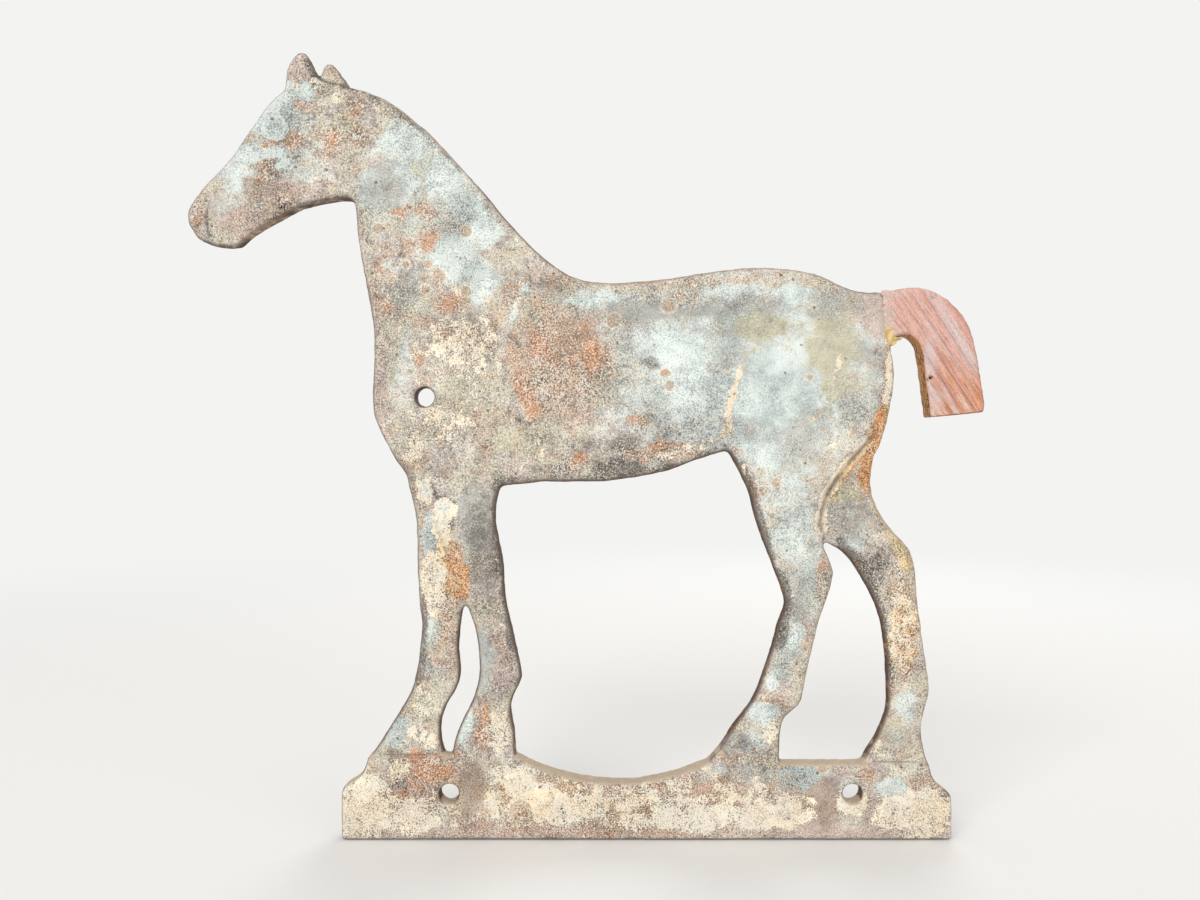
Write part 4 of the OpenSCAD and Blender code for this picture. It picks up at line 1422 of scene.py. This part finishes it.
def cast_relief(places, normals):
    """Height of the raised lines on both faces and of the sunk folds on the front."""
    x, z = side_view(places)
    facing = smooth_step(*CAST_TURN, np.abs(normals[:, 1]))
    front = smooth_step(*CAST_TURN, -normals[:, 1])
    lift = np.zeros(len(places))
    for ridge in RIDGES:
        lift += ridge.amount * MM * np.exp(-ridge.reach(x, z) ** 2) * facing
    for fold in FOLDS:
        lift += fold.sink(x, z) * MM * front
    return lift


def store_iron_finishes(mesh, places, normals):
    """Keeps the places of paint, rust, dust and grime on the horse's mesh."""
    x, z = side_view(places)
    warp = outline_warp(places)
    for name, marks in FINISH_MASKS.items():
        store(mesh, name, finish_mask(x, z, warp, marks))
    store(mesh, "spot", finish_mask(x, z, SPOT_WARP * warp, SPOTS))
    # Paler on the top walls of the base and, less, under the jaw: painted light
    top_of_base = smooth_step(*CAST_TURN, normals[:, 2]) * smooth_step(*BASE_LEDGES, z)
    under_jaw = smooth_step(*CAST_TURN, -normals[:, 2]) * smooth_step(*JAW_LEDGES, z)
    store(mesh, "ledge", np.maximum(top_of_base, JAW_LIGHT_SHARE * under_jaw))
    # Hollows, which are drawn darker as painted shade
    store(mesh, "crease", np.clip(hollows(mesh, CREASE_PASSES, CREASE_DEPTH), 0, 1))
    glue_low, glue_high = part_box("tail_glue")
    past = smooth_step(*DOCK_FRONT, x - glue_low.x / MM)
    above = smooth_step(*DOCK_FOOT, z - glue_low.z / MM)
    below = smooth_step(*DOCK_TOP, z - glue_high.z / MM)
    store(mesh, "dock", past * above * below)


class WEIGHT_OT_cast_horse(bpy.types.Operator):
    """Cast the iron horse with its uneven surface, relief and worn paint"""

    bl_idname = "weight.cast_horse"
    bl_label = "Cast the horse"

    def execute(self, context):
        settings = context.scene.weight_casting
        piece = linked("cast_horse", node_copy("horse_casting"))
        evened(piece, settings.mesh_size)
        mesh = piece.data
        softened(mesh, settings.smoothing)
        places, normals = vertex_places(mesh)
        facing = smooth_step(*CAST_TURN, np.abs(normals[:, 1]))
        lift = cast_relief(places, normals)
        lift += settings.sand * lumpy(places, SAND_LUMPS) * (1.0 - FACE_CALM * facing)
        lift[places[:, 2] < FOOT_HEIGHT] = 0
        set_places(mesh, places + normals * lift[:, None])
        store_iron_finishes(mesh, places, normals)
        mesh.shade_smooth()
        mesh.materials.append(iron_material(settings))
        fitted(piece, "horse_casting")
        return {"FINISHED"}


def scratches(places):
    """Share of fine lines that run between the carved grooves and fade in places."""
    x, z = side_view(places)
    across = x * math.sin(CARVING_SLOPE) + z * math.cos(CARVING_SLOPE)
    phase = ((across + SCRATCH_WANDER.at(places)) / SCRATCH_GAP) % 1.0
    from_middle = np.abs(phase - 0.5) * 2.0
    return smooth_step(*SCRATCH_EDGE, from_middle) * smooth_step(*SCRATCH_BREAK, SCRATCH_FADE.at(places))


def store_wood_finishes(mesh, places, normals):
    """Keeps the places of the darker grooves, the worm hole, bare wood, painted shade on the right and
    lower edges, worn paint and dust on the tail's mesh.
    """
    x, z = side_view(places)
    low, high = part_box("tail")
    facing = smooth_step(*TAIL_TURN, np.abs(normals[:, 1]))
    front = smooth_step(*TAIL_TURN, -normals[:, 1])
    cavity = hollows(mesh, CARVED_PASSES, CARVED_DEPTH)
    store(mesh, "carved", np.clip(cavity * facing, 0, 1))
    store(mesh, "bored", smooth_step(*HOLE_EDGE, WORM_HOLE.reach(x, z)) * front)
    turned = 1.0 - smooth_step(*SIDE_TURN, np.abs(normals[:, 1]))
    store(mesh, "bare", np.maximum(turned, np.clip(-0.9 * cavity, 0, 1)))
    # Convex edges that face right and down are drawn dark: painted shade
    shaded = smooth_step(-0.1, 0.4, 0.8 * normals[:, 0] - 0.6 * normals[:, 2])
    store(mesh, "outline", np.clip(-1.6 * cavity, 0, 1) * shaded)
    store(mesh, "worn", smooth_step(*WORN_HEIGHTS, (places[:, 2] - low.z) / (high.z - low.z)))
    seam = smooth_step(*SEAM_DUST, (places[:, 0] - low.x) / (high.x - low.x))
    nick = smooth_step(*NICK_EDGE, NICK.reach(x, z)) * front
    dust = finish_mask(x, z, DUST_WARP * outline_warp(places), TAIL_DUST) * front
    store(mesh, "dusty", np.maximum(np.maximum(nick, 0.7 * seam), dust))


class WEIGHT_OT_carve_tail(bpy.types.Operator):
    """Carve and paint the wooden tail"""

    bl_idname = "weight.carve_tail"
    bl_label = "Carve the tail"

    def execute(self, context):
        settings = context.scene.weight_tail
        piece = linked("carved_tail", node_copy("tail"))
        evened(piece, settings.mesh_size)
        mesh = piece.data
        softened(mesh, SMALL_PIECE_SMOOTHING)
        places, normals = vertex_places(mesh)
        x, z = side_view(places)
        facing = smooth_step(*TAIL_TURN, np.abs(normals[:, 1]))
        front = smooth_step(*TAIL_TURN, -normals[:, 1])
        hole = smooth_step(*HOLE_EDGE, WORM_HOLE.reach(x, z)) * front
        nick = smooth_step(*NICK_EDGE, NICK.reach(x, z)) * front
        lift = -settings.scratch * scratches(places) * facing
        lift += WOOD_LUMPS.at(places) * MM * (1.0 + ROUGH_SIDES * (1.0 - facing))
        lift -= WORM_HOLE.amount * MM * hole + NICK.amount * MM * nick
        set_places(mesh, places + normals * lift[:, None])
        store_wood_finishes(mesh, places, normals)
        mesh.shade_smooth()
        mesh.materials.append(wood_material(settings))
        fitted(piece, "tail")
        return {"FINISHED"}


def smear_blobs(top):
    """Thin drops up both faces of the seam and over its top, which is given in millimetres."""
    blobs = []
    for step in range(SMEAR_STEPS):
        share = step / (SMEAR_STEPS - 1)
        rise = SMEAR_START + share * (top - SMEAR_START - SMEAR_STOP)
        wide = 2.5 + 0.6 * math.sin(2.3 * step)
        for side in (-1, 1):
            along = SMEAR_LEAN - SMEAR_SLOPE * share + 0.5 * math.sin(1.7 * step + side)
            blobs.append(Blob("face", (along, side * SMEAR_SIDE, rise), (wide, 0.6, 1.3)))
    for step in range(SMEAR_OVER_TOP):
        across = step - (SMEAR_OVER_TOP - 1) / 2
        middle = (SMEAR_LEAN - SMEAR_SLOPE, across, top - 0.5)
        blobs.append(Blob("top", middle, (2.2, 1.2, 0.55)))
    return blobs


class WEIGHT_OT_squeeze_glue(bpy.types.Operator):
    """Fill the tail's joint with glue that has squeezed out below"""

    bl_idname = "weight.squeeze_glue"
    bl_label = "Squeeze the glue"

    def execute(self, context):
        settings = context.scene.weight_glue
        low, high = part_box("tail_glue")
        bead = Vector(((low.x + high.x) / 2, 0, low.z + BEAD_HEIGHT))
        shape = bmesh.new()
        shape.from_mesh(node_copy("tail_glue"))
        for blob in (*BEAD_BLOBS, *smear_blobs((high.z - bead.z) / MM)):
            sized = Matrix.Diagonal((*(Vector(blob.radii) * MM), 1.0))
            spot = Matrix.Translation(bead + Vector(blob.middle) * MM) @ sized
            bmesh.ops.create_icosphere(shape, subdivisions=3, radius=1.0, matrix=spot)
        mesh = bpy.data.meshes.new("glue_squeeze")
        shape.to_mesh(mesh)
        shape.free()
        piece = linked("glue_squeeze", mesh)
        evened(piece, settings.mesh_size)
        mesh = piece.data
        softened(mesh, SMALL_PIECE_SMOOTHING)
        places, normals = vertex_places(mesh)
        lift = GLUE_LUMPS.at(places) * MM
        set_places(mesh, places + normals * lift[:, None])
        store(mesh, "smeared", smooth_step(*SMEARED_HEIGHTS, (places[:, 2] - low.z) / MM))
        mesh.shade_smooth()
        mesh.materials.append(glue_material(settings))
        fitted(piece, "tail_glue")
        return {"FINISHED"}


class WEIGHT_OT_finish_pins(bpy.types.Operator):
    """Give the hidden pins their steel"""

    bl_idname = "weight.finish_pins"
    bl_label = "Finish the pins"

    def execute(self, context):
        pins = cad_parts["tail_pins"]
        steel = steel_material(context.scene.weight_pins)
        for slot in pins.material_slots:
            slot.material = steel
        return {"FINISHED"}


def floor_material(tones):
    """Pale floor that fades into the backdrop."""
    material, tree, shader, place = new_material("studio_floor", 0.2)
    shader.inputs["Base Color"].default_value = tones.floor
    shader.inputs["Roughness"].default_value = 0.9
    away = add(tree, "ShaderNodeVectorMath", {0: place}, operation="LENGTH").outputs["Value"]
    glow = add(tree, "ShaderNodeEmission", {"Color": tones.backdrop, "Strength": 1.0})
    fade = add(tree, "ShaderNodeMixShader", {0: ramp(tree, away, *FLOOR_FADE)})
    tree.links.new(shader.outputs[0], fade.inputs[1])
    tree.links.new(glow.outputs[0], fade.inputs[2])
    output = next(n for n in tree.nodes if n.type == "OUTPUT_MATERIAL")
    tree.links.new(fade.outputs[0], output.inputs["Surface"])
    return material


def studio_world(tones):
    """Even light all round, with a plain pale backdrop."""
    world = bpy.data.worlds.new("studio")
    world.use_nodes = True
    tree = world.node_tree
    tree.nodes.clear()
    path = tree.nodes.new("ShaderNodeLightPath").outputs
    seen = calc(tree, "MAXIMUM", path["Is Glossy Ray"], path["Is Transmission Ray"])
    seen = calc(tree, "MAXIMUM", path["Is Camera Ray"], seen)
    white = (1.0, 1.0, 1.0, 1.0)
    light = add(tree, "ShaderNodeBackground", {"Color": white, "Strength": LIGHT_ALL_ROUND})
    plain = add(tree, "ShaderNodeBackground", {"Color": tones.backdrop, "Strength": 1.0})
    choose = add(tree, "ShaderNodeMixShader", {0: seen})
    tree.links.new(light.outputs[0], choose.inputs[1])
    tree.links.new(plain.outputs[0], choose.inputs[2])
    output = tree.nodes.new("ShaderNodeOutputWorld")
    tree.links.new(choose.outputs[0], output.inputs["Surface"])
    return world


def hang(lamp):
    """Hangs a lamp so that it faces the horse."""
    light = bpy.data.lights.new(lamp.name, "AREA")
    light.size = lamp.size
    light.energy = lamp.power
    holder = linked(lamp.name, light)
    holder.location = lamp.place
    towards = Vector(LAMP_TARGET) - Vector(lamp.place)
    holder.rotation_euler = towards.to_track_quat("-Z", "Y").to_euler()


def laid_floor(tones):
    """Round floor just under the base."""
    shape = bmesh.new()
    under = Matrix.Translation((0, 0, -FLOOR_GAP))
    bmesh.ops.create_circle(shape, cap_ends=True, segments=96, radius=FLOOR_RADIUS, matrix=under)
    mesh = bpy.data.meshes.new("floor")
    shape.to_mesh(mesh)
    shape.free()
    mesh.materials.append(floor_material(tones))
    return linked("floor", mesh)


class WEIGHT_OT_set_stage(bpy.types.Operator):
    """Lay the floor and set the lamps and the camera"""

    bl_idname = "weight.set_stage"
    bl_label = "Set the stage"

    def execute(self, context):
        settings = context.scene.weight_stage
        scene = context.scene
        laid_floor(settings)
        scene.world = studio_world(settings)
        for lamp in LAMPS:
            hang(lamp)
        lens = bpy.data.cameras.new("camera")
        lens.sensor_width = SENSOR_WIDTH
        lens.lens = settings.lens
        lens.clip_start = NEAREST_SEEN
        camera = linked("camera", lens)
        camera.location = (settings.camera_side, -settings.camera_distance, settings.camera_height)
        camera.rotation_euler = (math.pi / 2, 0.0, 0.0)
        scene.camera = camera
        scene.view_settings.view_transform = "Standard"
        return {"FINISHED"}


OPERATORS = (
    WEIGHT_OT_cast_horse,
    WEIGHT_OT_carve_tail,
    WEIGHT_OT_squeeze_glue,
    WEIGHT_OT_finish_pins,
    WEIGHT_OT_set_stage,
)


class WEIGHT_PT_pieces(bpy.types.Panel):
    """List of the pieces"""

    bl_idname = "WEIGHT_PT_pieces"
    bl_label = "Windmill weight"
    bl_space_type = "VIEW_3D"
    bl_region_type = "UI"
    bl_category = "Weight"

    def draw(self, context):
        for operator in OPERATORS:
            self.layout.operator(operator.bl_idname)


def register():
    for group in SETTINGS.values():
        bpy.utils.register_class(group)
    for name, group in SETTINGS.items():
        setattr(bpy.types.Scene, name, PointerProperty(type=group))
    for made in (*OPERATORS, WEIGHT_PT_pieces):
        bpy.utils.register_class(made)


def unregister():
    for made in reversed((*OPERATORS, WEIGHT_PT_pieces)):
        bpy.utils.unregister_class(made)
    for name in SETTINGS:
        delattr(bpy.types.Scene, name)
    for group in SETTINGS.values():
        bpy.utils.unregister_class(group)


def main():
    register()
    bpy.ops.weight.cast_horse()
    bpy.ops.weight.carve_tail()
    bpy.ops.weight.squeeze_glue()
    bpy.ops.weight.finish_pins()
    bpy.ops.weight.set_stage()


if __name__ == "__main__":
    main()
